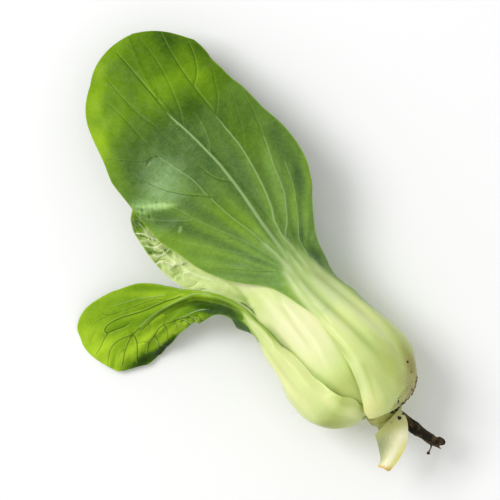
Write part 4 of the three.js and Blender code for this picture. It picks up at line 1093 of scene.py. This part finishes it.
def coordinates(piece, field="co"):
    """The places of a piece's vertices, or another of their vectors."""
    flat = np.empty(len(piece.data.vertices) * 3)
    piece.data.vertices.foreach_get(field, flat)
    return flat.reshape(-1, 3)


def place_vertices(piece, places):
    piece.data.vertices.foreach_set("co", np.ascontiguousarray(places, float).ravel())
    piece.data.update()


def to_frame(places, settings):
    """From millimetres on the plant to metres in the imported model's frame, inside its box."""
    moved = np.array(places, float)
    moved[..., 1] -= settings.rest_distance / MM
    return np.clip(moved * MM, np.array(CAD_BOX[0]), np.array(CAD_BOX[1]))


def closed_grid(name, rows, columns):
    """A grid with a second face behind it and walls between them, and each vertex's row,
    column and face."""
    deselect_all()
    bpy.ops.mesh.primitive_grid_add(x_subdivisions=columns, y_subdivisions=rows, size=2)
    piece = bpy.context.object
    piece.name = name
    piece.data.name = name
    edit_all()
    bpy.ops.mesh.extrude_region_move(TRANSFORM_OT_translate={"value": (0, 0, -1)})
    bpy.ops.object.mode_set(mode="OBJECT")
    start = coordinates(piece)
    row = np.rint((start[:, 1] + 1) / 2 * rows).astype(int)
    column = np.rint((start[:, 0] + 1) / 2 * columns).astype(int)
    face = (start[:, 2] < -0.5).astype(int)
    return piece, row, column, face


def face_outwards(piece):
    """Turns all the faces of a closed piece outwards."""
    select(piece)
    edit_all()
    bpy.ops.mesh.normals_make_consistent(inside=False)
    bpy.ops.object.mode_set(mode="OBJECT")


def smooth(piece, angle=40):
    """Smooth shading, with sharp edges past an angle in degrees."""
    select(piece)
    bpy.ops.object.shade_smooth_by_angle(angle=math.radians(angle))


def add_field(piece, name, values):
    """A value at each vertex for the finish to read."""
    attribute = piece.data.attributes.new(name, "FLOAT", "POINT")
    attribute.data.foreach_set("value", np.ascontiguousarray(values, np.float32))


def add_uv(piece, name, u, v):
    """A UV map from the values at each vertex."""
    layer = piece.data.uv_layers.new(name=name)
    corner = np.empty(len(piece.data.loops), np.int32)
    piece.data.loops.foreach_get("vertex_index", corner)
    layer.data.foreach_set("uv", np.stack([u[corner], v[corner]], 1).astype(np.float32).ravel())


def look_down(piece, x, y, settings):
    """Where a ray from overhead meets a piece: whether it does, the place, the normal and the face."""
    return piece.ray_cast(Vector((x, y - settings.rest_distance / MM, OVERHEAD)) * MM, (0, 0, -1))


def finish_piece(piece, material, slot, *nodes):
    """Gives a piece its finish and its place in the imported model."""
    piece.data.materials.clear()
    piece.data.materials.append(material)
    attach(piece, "root")
    if nodes:
        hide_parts(*nodes)


def build_leaf(name, spacing, material, settings):
    """Builds one leaf as a closed mesh whose faces are about one spacing wide."""
    leaf = LEAVES[name]
    form = leaf_form(leaf, settings)
    widest = form["width"](np.linspace(0, form["length"], 60)).sum(1).max()
    rows = round(form["length"] * MM / spacing)
    columns = 2 * round(widest * MM / spacing / 2)
    piece, row, column, face = closed_grid(name + "_fine", rows, columns)
    t = 1 - (1 - np.linspace(0, 1, rows + 1)) ** ROW_CROWDING
    s = np.linspace(-1, 1, columns + 1)
    faces, fields, across, distance = leaf_fields(name, leaf, form, settings, t, s)
    place_vertices(piece, to_frame(np.array(faces), settings)[face, row, column])
    for field, values in fields.items():
        add_field(piece, field, values[row, column])
    add_uv(piece, "leaf", (across[row, column] + UV_MIDDLE) / UV_SPAN, distance[row, column] / UV_SPAN)
    face_outwards(piece)
    smooth(piece)
    finish_piece(piece, material, leaf["slot"], name)


# ---- Node materials -----------------------------------------------------------------------
def maths(operation):
    """A method that adds a Math node for this operation, and its reflected form."""

    def plain(self, other):
        return self.nodes.add("Math", {"operation": operation}, {0: self, 1: other})

    def reflected(self, other):
        return self.nodes.add("Math", {"operation": operation}, {0: other, 1: self})

    return plain, reflected


class Value:
    """An output of a node, on which ordinary sums add Math nodes."""

    def __init__(self, nodes, socket):
        self.nodes = nodes
        self.socket = socket

    __add__, __radd__ = maths("ADD")
    __sub__, __rsub__ = maths("SUBTRACT")
    __mul__, __rmul__ = maths("MULTIPLY")
    __truediv__, __rtruediv__ = maths("DIVIDE")

    def __abs__(self):
        return self.nodes.add("Math", {"operation": "ABSOLUTE"}, {0: self})


class Nodes:
    """The node tree of one new material."""

    def __init__(self, name):
        self.material = bpy.data.materials.new(name)
        self.material.use_nodes = True
        self.tree = self.material.node_tree
        self.tree.nodes.clear()

    def add(self, kind, settings=None, inputs=None, output=0):
        """Adds a node, with its settings set first, and gives one of its outputs."""
        node = self.tree.nodes.new("ShaderNode" + kind)
        for name, value in (settings or {}).items():
            if name == "stops":
                self.fill_ramp(node.color_ramp, value)
            else:
                setattr(node, name, value)
        for name, value in (inputs or {}).items():
            if isinstance(value, Value):
                self.tree.links.new(value.socket, node.inputs[name])
            else:
                node.inputs[name].default_value = value
        return Value(self, node.outputs[output])

    @staticmethod
    def fill_ramp(ramp, stops):
        while len(ramp.elements) < len(stops):
            ramp.elements.new(0.5)
        for element, (position, colour) in zip(ramp.elements, stops):
            element.position = position
            element.color = (*colour, 1)

    def attribute(self, name):
        """One of the values that add_field stored."""
        return self.add("Attribute", {"attribute_name": name}, output=2)

    def object_place(self):
        """Place in the frame, in metres."""
        return self.add("TexCoord", output=3)

    def stretched(self, vector, *scale):
        return self.add("VectorMath", {"operation": "MULTIPLY"}, {0: vector, 1: scale})

    def split(self, vector, axis):
        """x, y or z of a vector, for the axis 0, 1 or 2."""
        return self.add("SeparateXYZ", None, {0: vector}, output=axis)

    def step(self, value, low, high):
        """Smooth step from 0 at low to 1 at high."""
        ends = {0: value, 1: low, 2: high, 3: 0.0, 4: 1.0}
        return self.add("MapRange", {"interpolation_type": "SMOOTHSTEP"}, ends)

    def clamped(self, value):
        return self.add("Clamp", None, {0: value})

    def ramp(self, value, stops):
        return self.add("ValToRGB", {"stops": stops}, {0: value})

    def mix(self, factor, first, second):
        """first where the factor is 0 and second where it is 1; both are colours."""
        first, second = (colour if isinstance(colour, Value) else (*colour, 1) for colour in (first, second))
        return self.add("Mix", {"data_type": "RGBA"}, {0: factor, 6: first, 7: second}, output=2)

    def noise(self, vector, scale, detail=3.0, roughness=0.55, output=0):
        settings = {"Vector": vector, "Scale": scale, "Detail": detail, "Roughness": roughness}
        return self.add("TexNoise", None, settings, output)

    def bump(self, height, strength, distance):
        return self.add("Bump", None, {"Strength": strength, "Distance": distance, "Height": height})

    def shader(self, inputs):
        """Ends the tree with a shader, and gives the material."""
        shader = self.add("BsdfPrincipled", None, inputs)
        output = self.tree.nodes.new("ShaderNodeOutputMaterial")
        self.tree.links.new(shader.socket, output.inputs["Surface"])
        return self.material


def shade(colour, amount):
    """A colour darkened or lightened by an amount."""
    return tuple(channel * amount for channel in colour)


def blend(first, second, share):
    """A colour that lies between two others."""
    return tuple(a + (b - a) * share for a, b in zip(first, second))


def leaf_material(name, colours, pale=0.0, gloss=0.42, netting=0.05, yellow=0.0, lighting=0.16):
    """Flesh of a leaf, from its waxy stalk to its veined blade.

    pale lightens a sheltered leaf, yellow warms its stalk, netting shows its smallest veins and
    lighting is how much light its grooves catch on one side.
    """
    pale_fibre_and_highlight, dark_fibre_and_shade = (0.78, 0.84, 0.5), (0.22, 0.36, 0.05)
    soil_smear = (0.26, 0.17, 0.045)
    olive, deep, green = tuple(colours.stalk_olive), tuple(colours.blade_deep), tuple(colours.blade_green)
    cream = blend(tuple(colours.stalk_cream), (0.86, 0.86, 0.2), yellow)
    bright = blend(tuple(colours.blade_bright), (0.76, 0.87, 0.36), pale)
    vein_colour = blend(tuple(colours.vein), (0.95, 1.0, 0.7), pale)
    nodes = Nodes(name)
    uv = nodes.add("UVMap", {"uv_map": "leaf"})
    millimetres = nodes.stretched(uv, UV_SPAN, UV_SPAN, 0)
    lengthwise = nodes.stretched(uv, UV_SPAN, 16, 0)

    # Broad and fine mottling, and streaks that run up the stalk.
    broad = nodes.noise(millimetres, 0.13, 3)
    grain = nodes.noise(millimetres, 1.6, 4, 0.6)
    pucker = nodes.noise(millimetres, 0.62, 3, 0.6)
    streaks = nodes.noise(lengthwise, 0.5, 2, 0.5)
    blade = nodes.attribute("blade")
    tone = nodes.attribute("tone")
    bloom = nodes.attribute("bloom")

    # The net of small veins between the drawn ones.
    swirl = nodes.noise(millimetres, 0.3, 2, 0.5, output=1)
    warp = nodes.add("VectorMath", {"operation": "SCALE"}, {0: swirl, "Scale": 2.2})
    warped = nodes.add("VectorMath", {"operation": "ADD"}, {0: millimetres, 1: warp})
    cell = nodes.add("TexVoronoi", {"feature": "DISTANCE_TO_EDGE"}, {"Vector": warped, "Scale": 0.26})
    net = (1 - nodes.step(cell, 0.0, 0.06)) * blade

    # The drawn veins: their cores, and the light on one side of the dark ones.
    side = nodes.attribute("vein_side")
    width = nodes.attribute("vein_width")
    tint = nodes.attribute("vein_tint")
    near = 1 - nodes.step(nodes.attribute("vein_near") - width, 0.8, 1.4)
    core = (1 - nodes.step(abs(side) / width, 0.3, 1.1)) * near
    lit = (1 - nodes.step(abs(side / width + 1.9), 0.2, 1.2)) * nodes.clamped(tint * -1) * near

    stalk_tone = tone + (streaks - 0.5) * 0.16 + (broad - 0.5) * 0.16
    stalk_colour = nodes.ramp(stalk_tone / 1.5 + 1 / 3, [
        (0.0, shade(olive, 0.62)), (1 / 3, olive), (2 / 3, tuple(colours.stalk_green)), (1.0, cream),
    ])
    blade_tone = tone + (broad - 0.5) * 0.22 + (grain - 0.5) * 0.22 + (pucker - 0.5) * 0.2
    blade_colour = nodes.ramp(blade_tone / 1.4 + 2 / 7, [
        (0.0, shade(deep, 0.4)), (2 / 7, deep), (0.543, green), (1.0, bright),
    ])
    streak = nodes.attribute("streak")
    # Waxy bloom together with a painted sheen, broken up by noise.
    bloom_sheen_share = nodes.clamped(bloom * (broad * 0.5 + pucker * 1.1 + grain * 1.1 - 0.35))
    smear = nodes.clamped(nodes.attribute("dirt") * (0.34 + nodes.step(grain, 0.48, 0.7) * 0.5))
    # Painted light through the thin margin: the blade lightens towards its edge.
    rim = (1 - nodes.step(nodes.attribute("margin"), 0.1, 0.8)) * blade
    colour = nodes.mix(blade, stalk_colour, blade_colour)
    # The streaks' tints are partly painted highlight and shade, and the dark vein cores are painted shade in
    # sunken veins and creases.
    for share, other in (
        (nodes.clamped(streak) * 0.42, pale_fibre_and_highlight),
        (nodes.clamped(streak * -1) * (0.5 - blade * 0.1), dark_fibre_and_shade),
        (net * netting, vein_colour),
        (bloom_sheen_share, tuple(colours.bloom)),
        (nodes.clamped(core * tint) * blade * 0.66, vein_colour),
        (lit * blade * lighting, blend(bright, (1, 1, 0.5), 0.2)),
        (nodes.clamped(core * (tint * -1)) * blade * 0.78, shade(deep, 0.8)),
        (smear, soil_smear),
        (rim * 0.25, bright),
    ):
        colour = nodes.mix(share, colour, other)

    relief = core * (tint * 0.7) + grain * 0.34 - net * 0.06 + streaks * (1 - blade) * 0.08
    relief = relief + pucker * blade * 0.6 + bloom_sheen_share * grain * 1.6
    return nodes.shader({
        "Base Color": colour, "Roughness": gloss + (grain - 0.5) * 0.16 + (blade - 1) * 0.06,
        "Normal": nodes.bump(relief, 0.5, 0.0005), "Subsurface Weight": 0.2,
        "Subsurface Radius": (0.7, 1.0, 0.3), "Subsurface Scale": 0.0015, "Specular IOR Level": 0.04,
        "Coat Weight": 0.32 - blade * 0.27 + bloom_sheen_share * 0.6, "Coat Roughness": 0.3,
    })


def crown_material(colours):
    """Skin of the stem base, ringed by the scars of old leaves and shaded under the bulb."""
    nodes = Nodes("stem_base_skin")
    crown, light_crown, shadow = tuple(colours.crown), (0.6, 0.62, 0.24), (0.13, 0.13, 0.02)
    place = nodes.object_place()
    bands = nodes.noise(nodes.stretched(place, 300, 1400, 300), 1.0, 4)
    grain = nodes.noise(place, 1800, 4, 0.6)
    mottle = bands * 0.7 + grain * 0.3
    lighter = blend(crown, light_crown, 0.6)
    colour = nodes.ramp(mottle, [(0.3, shade(crown, 0.55)), (0.5, crown), (0.72, lighter)])
    shaded = 1 - nodes.step(nodes.split(place, 1), -0.0315, -0.0275)
    return nodes.shader({
        "Base Color": nodes.mix(shaded * 0.65, colour, shadow), "Roughness": 0.55 + grain * 0.15,
        "Normal": nodes.bump(mottle, 0.6, 0.0006),
    })


def stub_material(colours):
    """The snapped stalk: cream flesh, grey-green with painted shade at its left, yellow at its right, dried
    where it tore.
    """
    nodes = Nodes("snapped_stalk_flesh")
    yellow_edge, green_base = (1.0, 0.91, 0.2), (0.42, 0.43, 0.13)
    uv = nodes.add("UVMap", {"uv_map": "leaf"})
    across, along = nodes.split(uv, 0), nodes.split(uv, 1)
    fibre = nodes.noise(nodes.stretched(uv, 26, 5, 0), 1.0, 4, 0.6)
    grain = nodes.noise(nodes.object_place(), 1500, 3, 0.6)
    # The flesh darkens towards its left and its root end, partly painted shade.
    shadiness = (across - along * 0.72 + (fibre - 0.5) * 0.4 + 0.55) / 1.3
    edge = 1 - nodes.step(across + (fibre - 0.5) * 0.15, 0.06, 0.46)
    base = 1 - nodes.step(along - (1 - across) * 0.2 + (fibre - 0.5) * 0.1, 0.0, 0.24)
    torn = nodes.step(along + (fibre - 0.5) * 0.12, 0.88, 0.99)
    colour = nodes.ramp(shadiness, [
        (0.05, (1.0, 0.96, 0.56)), (0.37, (1.0, 0.97, 0.68)), (0.52, (0.86, 0.85, 0.52)),
        (0.66, (0.62, 0.63, 0.35)), (0.78, (0.44, 0.46, 0.23)), (0.92, (0.33, 0.36, 0.18)),
    ])
    colour = nodes.mix(edge * nodes.step(along, 0.3, 0.7) * 0.85, colour, yellow_edge)
    colour = nodes.mix(base * 0.8, colour, green_base)
    colour = nodes.mix(torn * 0.8, colour, tuple(colours.torn))
    return nodes.shader({
        "Base Color": colour, "Roughness": 0.42 + torn * 0.3 + grain * 0.08,
        "Normal": nodes.bump(fibre * 0.7 + grain * 0.3, 0.5, 0.0004), "Subsurface Weight": 0.25,
        "Subsurface Radius": (1.0, 0.9, 0.4), "Subsurface Scale": 0.002, "Specular IOR Level": 0.2,
    })


def bark_material(colours):
    """Bark of the taproot, with fissures along it and worn patches."""
    nodes = Nodes("taproot_bark")
    dark, light = tuple(colours.bark), tuple(colours.bark_worn)
    place = nodes.object_place()
    along_root = {"Vector": place, "Rotation": (0, 0, math.radians(-18)), "Scale": (1100, 260, 1100)}
    fissures = nodes.noise(nodes.add("Mapping", None, along_root), 1.0, 5, 0.65)
    patches = nodes.noise(place, 260, 3)
    grain = nodes.noise(place, 2600, 3, 0.7)
    worn = nodes.step(patches * 0.6 + fissures * 0.4, 0.46, 0.62)
    colour = nodes.mix(worn, dark, light)
    colour = nodes.mix(nodes.step(grain, 0.45, 0.75) * 0.5, colour, shade(dark, 0.6))
    return nodes.shader({
        "Base Color": colour, "Roughness": 0.72 + grain * 0.2, "Specular IOR Level": 0.2,
        "Normal": nodes.bump(fissures * 0.7 + grain * 0.3, 0.9, 0.0007),
    })


def soil_material(colours):
    """Wet crumbs of soil."""
    nodes = Nodes("wet_soil")
    soil, dry_soil = tuple(colours.soil), (0.06, 0.042, 0.025)
    grain = nodes.noise(nodes.object_place(), 2200, 4, 0.7)
    colour = nodes.ramp(grain, [(0.35, shade(soil, 0.5)), (0.6, soil), (0.8, dry_soil)])
    return nodes.shader({
        "Base Color": colour, "Roughness": 0.6 + grain * 0.3, "Normal": nodes.bump(grain, 1.0, 0.0004),
    })


def floor_material(studio):
    """A matt floor with a faint grain."""
    nodes = Nodes("pale_floor")
    pale = tuple(studio.floor_colour)
    grain = nodes.noise(nodes.object_place(), 900, 3)
    colour = nodes.mix(grain * 0.2, pale, shade(pale, 0.985))
    return nodes.shader({"Base Color": colour, "Roughness": 0.85 + grain * 0.08})


# ---- Operators ----------------------------------------------------------------------------
def settings_of(context):
    """The form, the colours and the studio that the user has set."""
    return [getattr(context.scene, name) for name in GROUPS]


class Undoable:
    """Lets the user undo what an operator built."""

    bl_options = {"REGISTER", "UNDO"}


class BOKCHOY_OT_shown_leaves(Undoable, bpy.types.Operator):
    """Build the large leaf on top, the leaf that bends away and the pale one between them"""

    bl_idname = "bokchoy.shown_leaves"
    bl_label = "Leaves that show"

    def execute(self, context):
        form, colours, _ = settings_of(context)
        for name, flesh, fineness, looks in SHOWN_LEAVES:
            build_leaf(name, form.mesh_spacing * fineness, leaf_material(flesh, colours, **looks), form)
        return {"FINISHED"}


class BOKCHOY_OT_hidden_leaves(Undoable, bpy.types.Operator):
    """Build the leaf underneath, the two inner leaves and the two heart leaves"""

    bl_idname = "bokchoy.hidden_leaves"
    bl_label = "Hidden leaves"

    def execute(self, context):
        form, colours, _ = settings_of(context)
        outer = leaf_material("back_leaf_flesh", colours)
        heart = leaf_material("heart_leaf_flesh", colours, pale=0.5)
        for name in HIDDEN_LEAVES:
            build_leaf(name, form.hidden_spacing, outer if name == "leaf_back" else heart, form)
        return {"FINISHED"}


class BOKCHOY_OT_stem_base(Undoable, bpy.types.Operator):
    """Build the short stem that the leaves grow from"""

    bl_idname = "bokchoy.stem_base"
    bl_label = "Stem base"

    def execute(self, context):
        form, colours, _ = settings_of(context)
        deselect_all()
        radius, distance = STEM_PROFILE[0]
        bpy.ops.mesh.primitive_circle_add(
            vertices=STEM_SIDES, radius=radius * MM, fill_type="TRIFAN", location=(0, 0, distance * MM),
        )
        piece = bpy.context.object
        piece.name = "stem_base_fine"
        edit_all()
        for next_radius, next_distance in smooth_path(STEM_PROFILE, STEM_RINGS)[1:]:
            rise = {"value": (0, 0, (next_distance - distance) * MM)}
            bpy.ops.mesh.extrude_region_move(TRANSFORM_OT_translate=rise)
            growth = next_radius / radius
            centre = (0, 0, next_distance * MM)
            bpy.ops.transform.resize(value=(growth, growth, 1), center_override=centre)
            radius, distance = next_radius, next_distance
        bpy.ops.object.mode_set(mode="OBJECT")
        bpy.ops.object.transform_apply(location=True, rotation=True, scale=True)
        start = coordinates(piece)
        middle = Vector((ROOT_SHIFT, -form.rest_distance / MM, form.axis_height / MM)) * MM
        place_vertices(piece, np.stack([start[:, 0], start[:, 2], -start[:, 1]], 1) + np.array(middle))
        face_outwards(piece)
        smooth(piece)
        finish_piece(piece, crown_material(colours), "stem", "stem_base")
        return {"FINISHED"}


class BOKCHOY_OT_broken_petiole(Undoable, bpy.types.Operator):
    """Build what is left of a snapped outer leaf"""

    bl_idname = "bokchoy.broken_petiole"
    bl_label = "Snapped stalk"

    def execute(self, context):
        form, colours, _ = settings_of(context)
        rows, columns = STUB_ROWS, STUB_COLUMNS
        piece, row, column, face = closed_grid("broken_petiole_fine", rows, columns)
        u = np.linspace(0, 1, rows + 1)
        s = np.linspace(-1, 1, columns + 1)
        right = smooth_path(STUB_RIGHT_EDGE, rows + 1)
        left = smooth_path(STUB_LEFT_EDGE, rows + 1)
        share = ((s + 1) / 2)[None, :, None]
        flat = right[:, None] * (1 - share) + left[:, None] * share

        # Fibres roughen the face and are pulled out of line at the torn end.
        draws = np.random.default_rng(form.seed + STUB_SEED)
        x, y = np.meshgrid(s * STUB_WIDTH, u * STUB_LENGTH)
        rough = undulation(x, y, FIBRE_PITCH, draws)
        torn = smoothstep(u, TORN_START, 1.0)[:, None]
        pull = TORN_PULL * torn * (rough - TORN_SHORT)
        flat = flat + unit(np.gradient(flat, axis=0)) * pull[..., None]
        height = track(STUB_HEIGHT)(u) + STUB_CROWN * (1 - s**2)
        relief = FIBRE_RELIEF * rough * (0.3 + torn)
        faces = []
        for side in range(2):
            z = height - side * track(STUB_THICKNESS)(u) + relief
            faces.append(np.concatenate([flat, z[..., None]], axis=2))
        place_vertices(piece, to_frame(np.array(faces), form)[face, row, column])
        add_uv(piece, "leaf", column / columns, row / rows)
        face_outwards(piece)
        smooth(piece)
        finish_piece(piece, stub_material(colours), "torn_stalk", "broken_petiole")
        return {"FINISHED"}


class BOKCHOY_OT_taproot(Undoable, bpy.types.Operator):
    """Build the broken taproot with its knob, rootlet and spike"""

    bl_idname = "bokchoy.taproot"
    bl_label = "Taproot"

    def execute(self, context):
        form, colours, _ = settings_of(context)
        limbs = [self.limb(rows, form) for rows in (TAPROOT, KNOB, ROOTLET, SPIKE)]
        piece = join(limbs, "taproot_fine")
        remesh = piece.modifiers.new("Join limbs", "REMESH")
        remesh.mode = "VOXEL"
        remesh.voxel_size = ROOT_VOXEL * MM
        bpy.ops.object.modifier_apply(modifier=remesh.name)
        bpy.ops.object.transform_apply(location=True, rotation=True, scale=True)
        places = coordinates(piece)
        across, along = FISSURES_ACROSS, FISSURES_ALONG
        bark = [
            noise.noise(Vector((x * across, y * along, z * across))) * BARK_FISSURE * MM
            + noise.noise(Vector((x, y, z)) * BARK_GRAINS) * BARK_GRAIN * MM
            for x, y, z in places
        ]
        push = np.array(bark)[:, None] - BARK_SINK * MM
        place_vertices(piece, places + coordinates(piece, "normal") * push)
        smooth(piece, ROUGH_ANGLE)
        finish_piece(piece, bark_material(colours), "root", "taproot")
        return {"FINISHED"}

    @staticmethod
    def limb(rows, form):
        """A round limb along the smooth curve through its rows."""
        path = smooth_path(rows, LIMB_POINTS * len(rows))
        deselect_all()
        bpy.ops.curve.primitive_nurbs_path_add()
        curve = bpy.context.object.data
        curve.splines.clear()
        spline = curve.splines.new("POLY")
        spline.points.add(len(path) - 1)
        for point, place, radius in zip(spline.points, to_frame(path[:, :3], form), path[:, 3]):
            point.co = (*place, 1)
            point.radius = radius
        curve.dimensions = "3D"
        curve.bevel_depth = LIMB_SHARE * MM
        curve.bevel_resolution = LIMB_ROUNDNESS
        curve.use_fill_caps = True
        bpy.ops.object.convert(target="MESH")
        return bpy.context.object


class BOKCHOY_OT_soil(Undoable, bpy.types.Operator):
    """Build the specks of soil that cling round the root end"""

    bl_idname = "bokchoy.soil"
    bl_label = "Soil"

    def execute(self, context):
        form, colours, _ = settings_of(context)
        draws = np.random.default_rng(form.seed + SOIL_SEED)
        names = ("leaf_right_fine", "stem_base_fine", "broken_petiole_fine")
        carriers = [bpy.data.objects[name] for name in names]
        crumbs = []
        for x, y, radius in SOIL + self.edge_specks(carriers[0], draws, form):
            hits = [look_down(carrier, x, y, form) for carrier in carriers]
            tops = [(place.z, place, normal) for hit, place, normal, _ in hits if hit]
            if tops:
                _, place, normal = max(tops, key=lambda top: top[0])
                crumbs.append(self.crumb(place, normal, radius, draws))
        piece = join(crumbs, "soil_specks")
        smooth(piece, ROUGH_ANGLE)
        finish_piece(piece, soil_material(colours), "root")
        return {"FINISHED"}

    @staticmethod
    def edge_specks(leaf, draws, form):
        """Specks along the rim of the leaf's base, as it is seen from above."""
        specks = []
        for x in np.linspace(*SOIL_EDGE):
            x += draws.uniform(*SPECK_JITTER)
            y = x * RIM_SLOPE + RIM_FOOT
            while y < RIM_TOP and not look_down(leaf, x, y, form)[0]:
                y += RIM_STEP
            specks.append([x, y + draws.uniform(*SPECK_RISE), draws.choice(SPECK_SIZES)])
        return specks

    @staticmethod
    def crumb(place, normal, radius, draws):
        """A lumpy, flattened crumb that sits on a face."""
        deselect_all()
        bpy.ops.mesh.primitive_ico_sphere_add(subdivisions=3, radius=radius * MM)
        crumb = bpy.context.object
        offset = Vector(draws.uniform(-50, 50, 3))
        turn = normal.to_track_quat("Z", "Y")
        places = []
        for vertex in crumb.data.vertices:
            spot = vertex.co / (radius * MM) * LUMP_COUNT + offset
            local = vertex.co * (1 + SPECK_LUMPS * noise.noise(spot))
            local.z *= SPECK_FLATNESS
            places.append(turn @ local + place)
        place_vertices(crumb, np.array(places))
        return crumb


class BOKCHOY_OT_studio(Undoable, bpy.types.Operator):
    """Build the pale floor, the soft lights and the camera that looks down"""

    bl_idname = "bokchoy.studio"
    bl_label = "Studio"

    def execute(self, context):
        _, _, studio = settings_of(context)
        deselect_all()
        bpy.ops.mesh.primitive_plane_add(size=studio.floor_size)
        floor = bpy.context.object
        floor.name = "floor"
        floor.data.materials.append(floor_material(studio))

        world = bpy.data.worlds.new("Room")
        world.use_nodes = True
        background = world.node_tree.nodes["Background"]
        background.inputs["Color"].default_value = (1, 1, 1, 1)
        background.inputs["Strength"].default_value = studio.room_light
        context.scene.world = world

        self.soft_light("key", KEY_PLACE, KEY_SIZE, studio.key_light)
        self.soft_light("overhead", TOP_PLACE, TOP_SIZE, studio.key_light * TOP_SHARE)

        distance = studio.frame_width * studio.lens / SENSOR_WIDTH
        place = (*VIEW_MIDDLE, FOCUS_HEIGHT + distance)
        bpy.ops.object.camera_add(location=place, rotation=(0, 0, studio.camera_turn))
        camera = bpy.context.object
        camera.name = "camera"
        camera.data.lens = studio.lens
        camera.data.sensor_width = SENSOR_WIDTH
        camera.data.clip_end = 3 * distance
        context.scene.camera = camera
        context.scene.view_settings.view_transform = "Standard"
        return {"FINISHED"}

    @staticmethod
    def soft_light(name, offset, size, power):
        """A square light that faces the plant."""
        offset = Vector(offset)
        bpy.ops.object.light_add(type="AREA", location=Vector((*VIEW_MIDDLE, LIT_HEIGHT)) + offset)
        light = bpy.context.object
        light.name = name
        light.data.size = size
        light.data.energy = power
        light.rotation_euler = (-offset).to_track_quat("-Z", "Y").to_euler()


class BOKCHOY_PT_panel(bpy.types.Panel):
    """Lists the pieces and the settings"""

    bl_label = "Bok choy"
    bl_idname = "BOKCHOY_PT_panel"
    bl_space_type = "VIEW_3D"
    bl_region_type = "UI"
    bl_category = "Bok choy"

    def draw(self, context):
        for operator in OPERATORS:
            self.layout.operator(operator.bl_idname)
        for group in settings_of(context):
            box = self.layout.box()
            for name in group.__annotations__:
                box.prop(group, name)


# In the order in which they run: the soil is laid on pieces that stand before it.
OPERATORS = (
    BOKCHOY_OT_studio, BOKCHOY_OT_shown_leaves, BOKCHOY_OT_hidden_leaves, BOKCHOY_OT_stem_base,
    BOKCHOY_OT_broken_petiole, BOKCHOY_OT_taproot, BOKCHOY_OT_soil,
)
GROUPS = {"bokchoy_form": FormSettings, "bokchoy_colours": ColourSettings, "bokchoy_studio": StudioSettings}


def register():
    for name, group in GROUPS.items():
        bpy.utils.register_class(group)
        setattr(bpy.types.Scene, name, bpy.props.PointerProperty(type=group))
    for item in (*OPERATORS, BOKCHOY_PT_panel):
        bpy.utils.register_class(item)


def unregister():
    for item in reversed((*OPERATORS, BOKCHOY_PT_panel)):
        bpy.utils.unregister_class(item)
    for name, group in GROUPS.items():
        delattr(bpy.types.Scene, name)
        bpy.utils.unregister_class(group)


def main():
    """Builds every piece."""
    register()
    for operator in OPERATORS:
        group, name = operator.bl_idname.split(".")
        getattr(getattr(bpy.ops, group), name)()


if __name__ == "__main__":
    main()
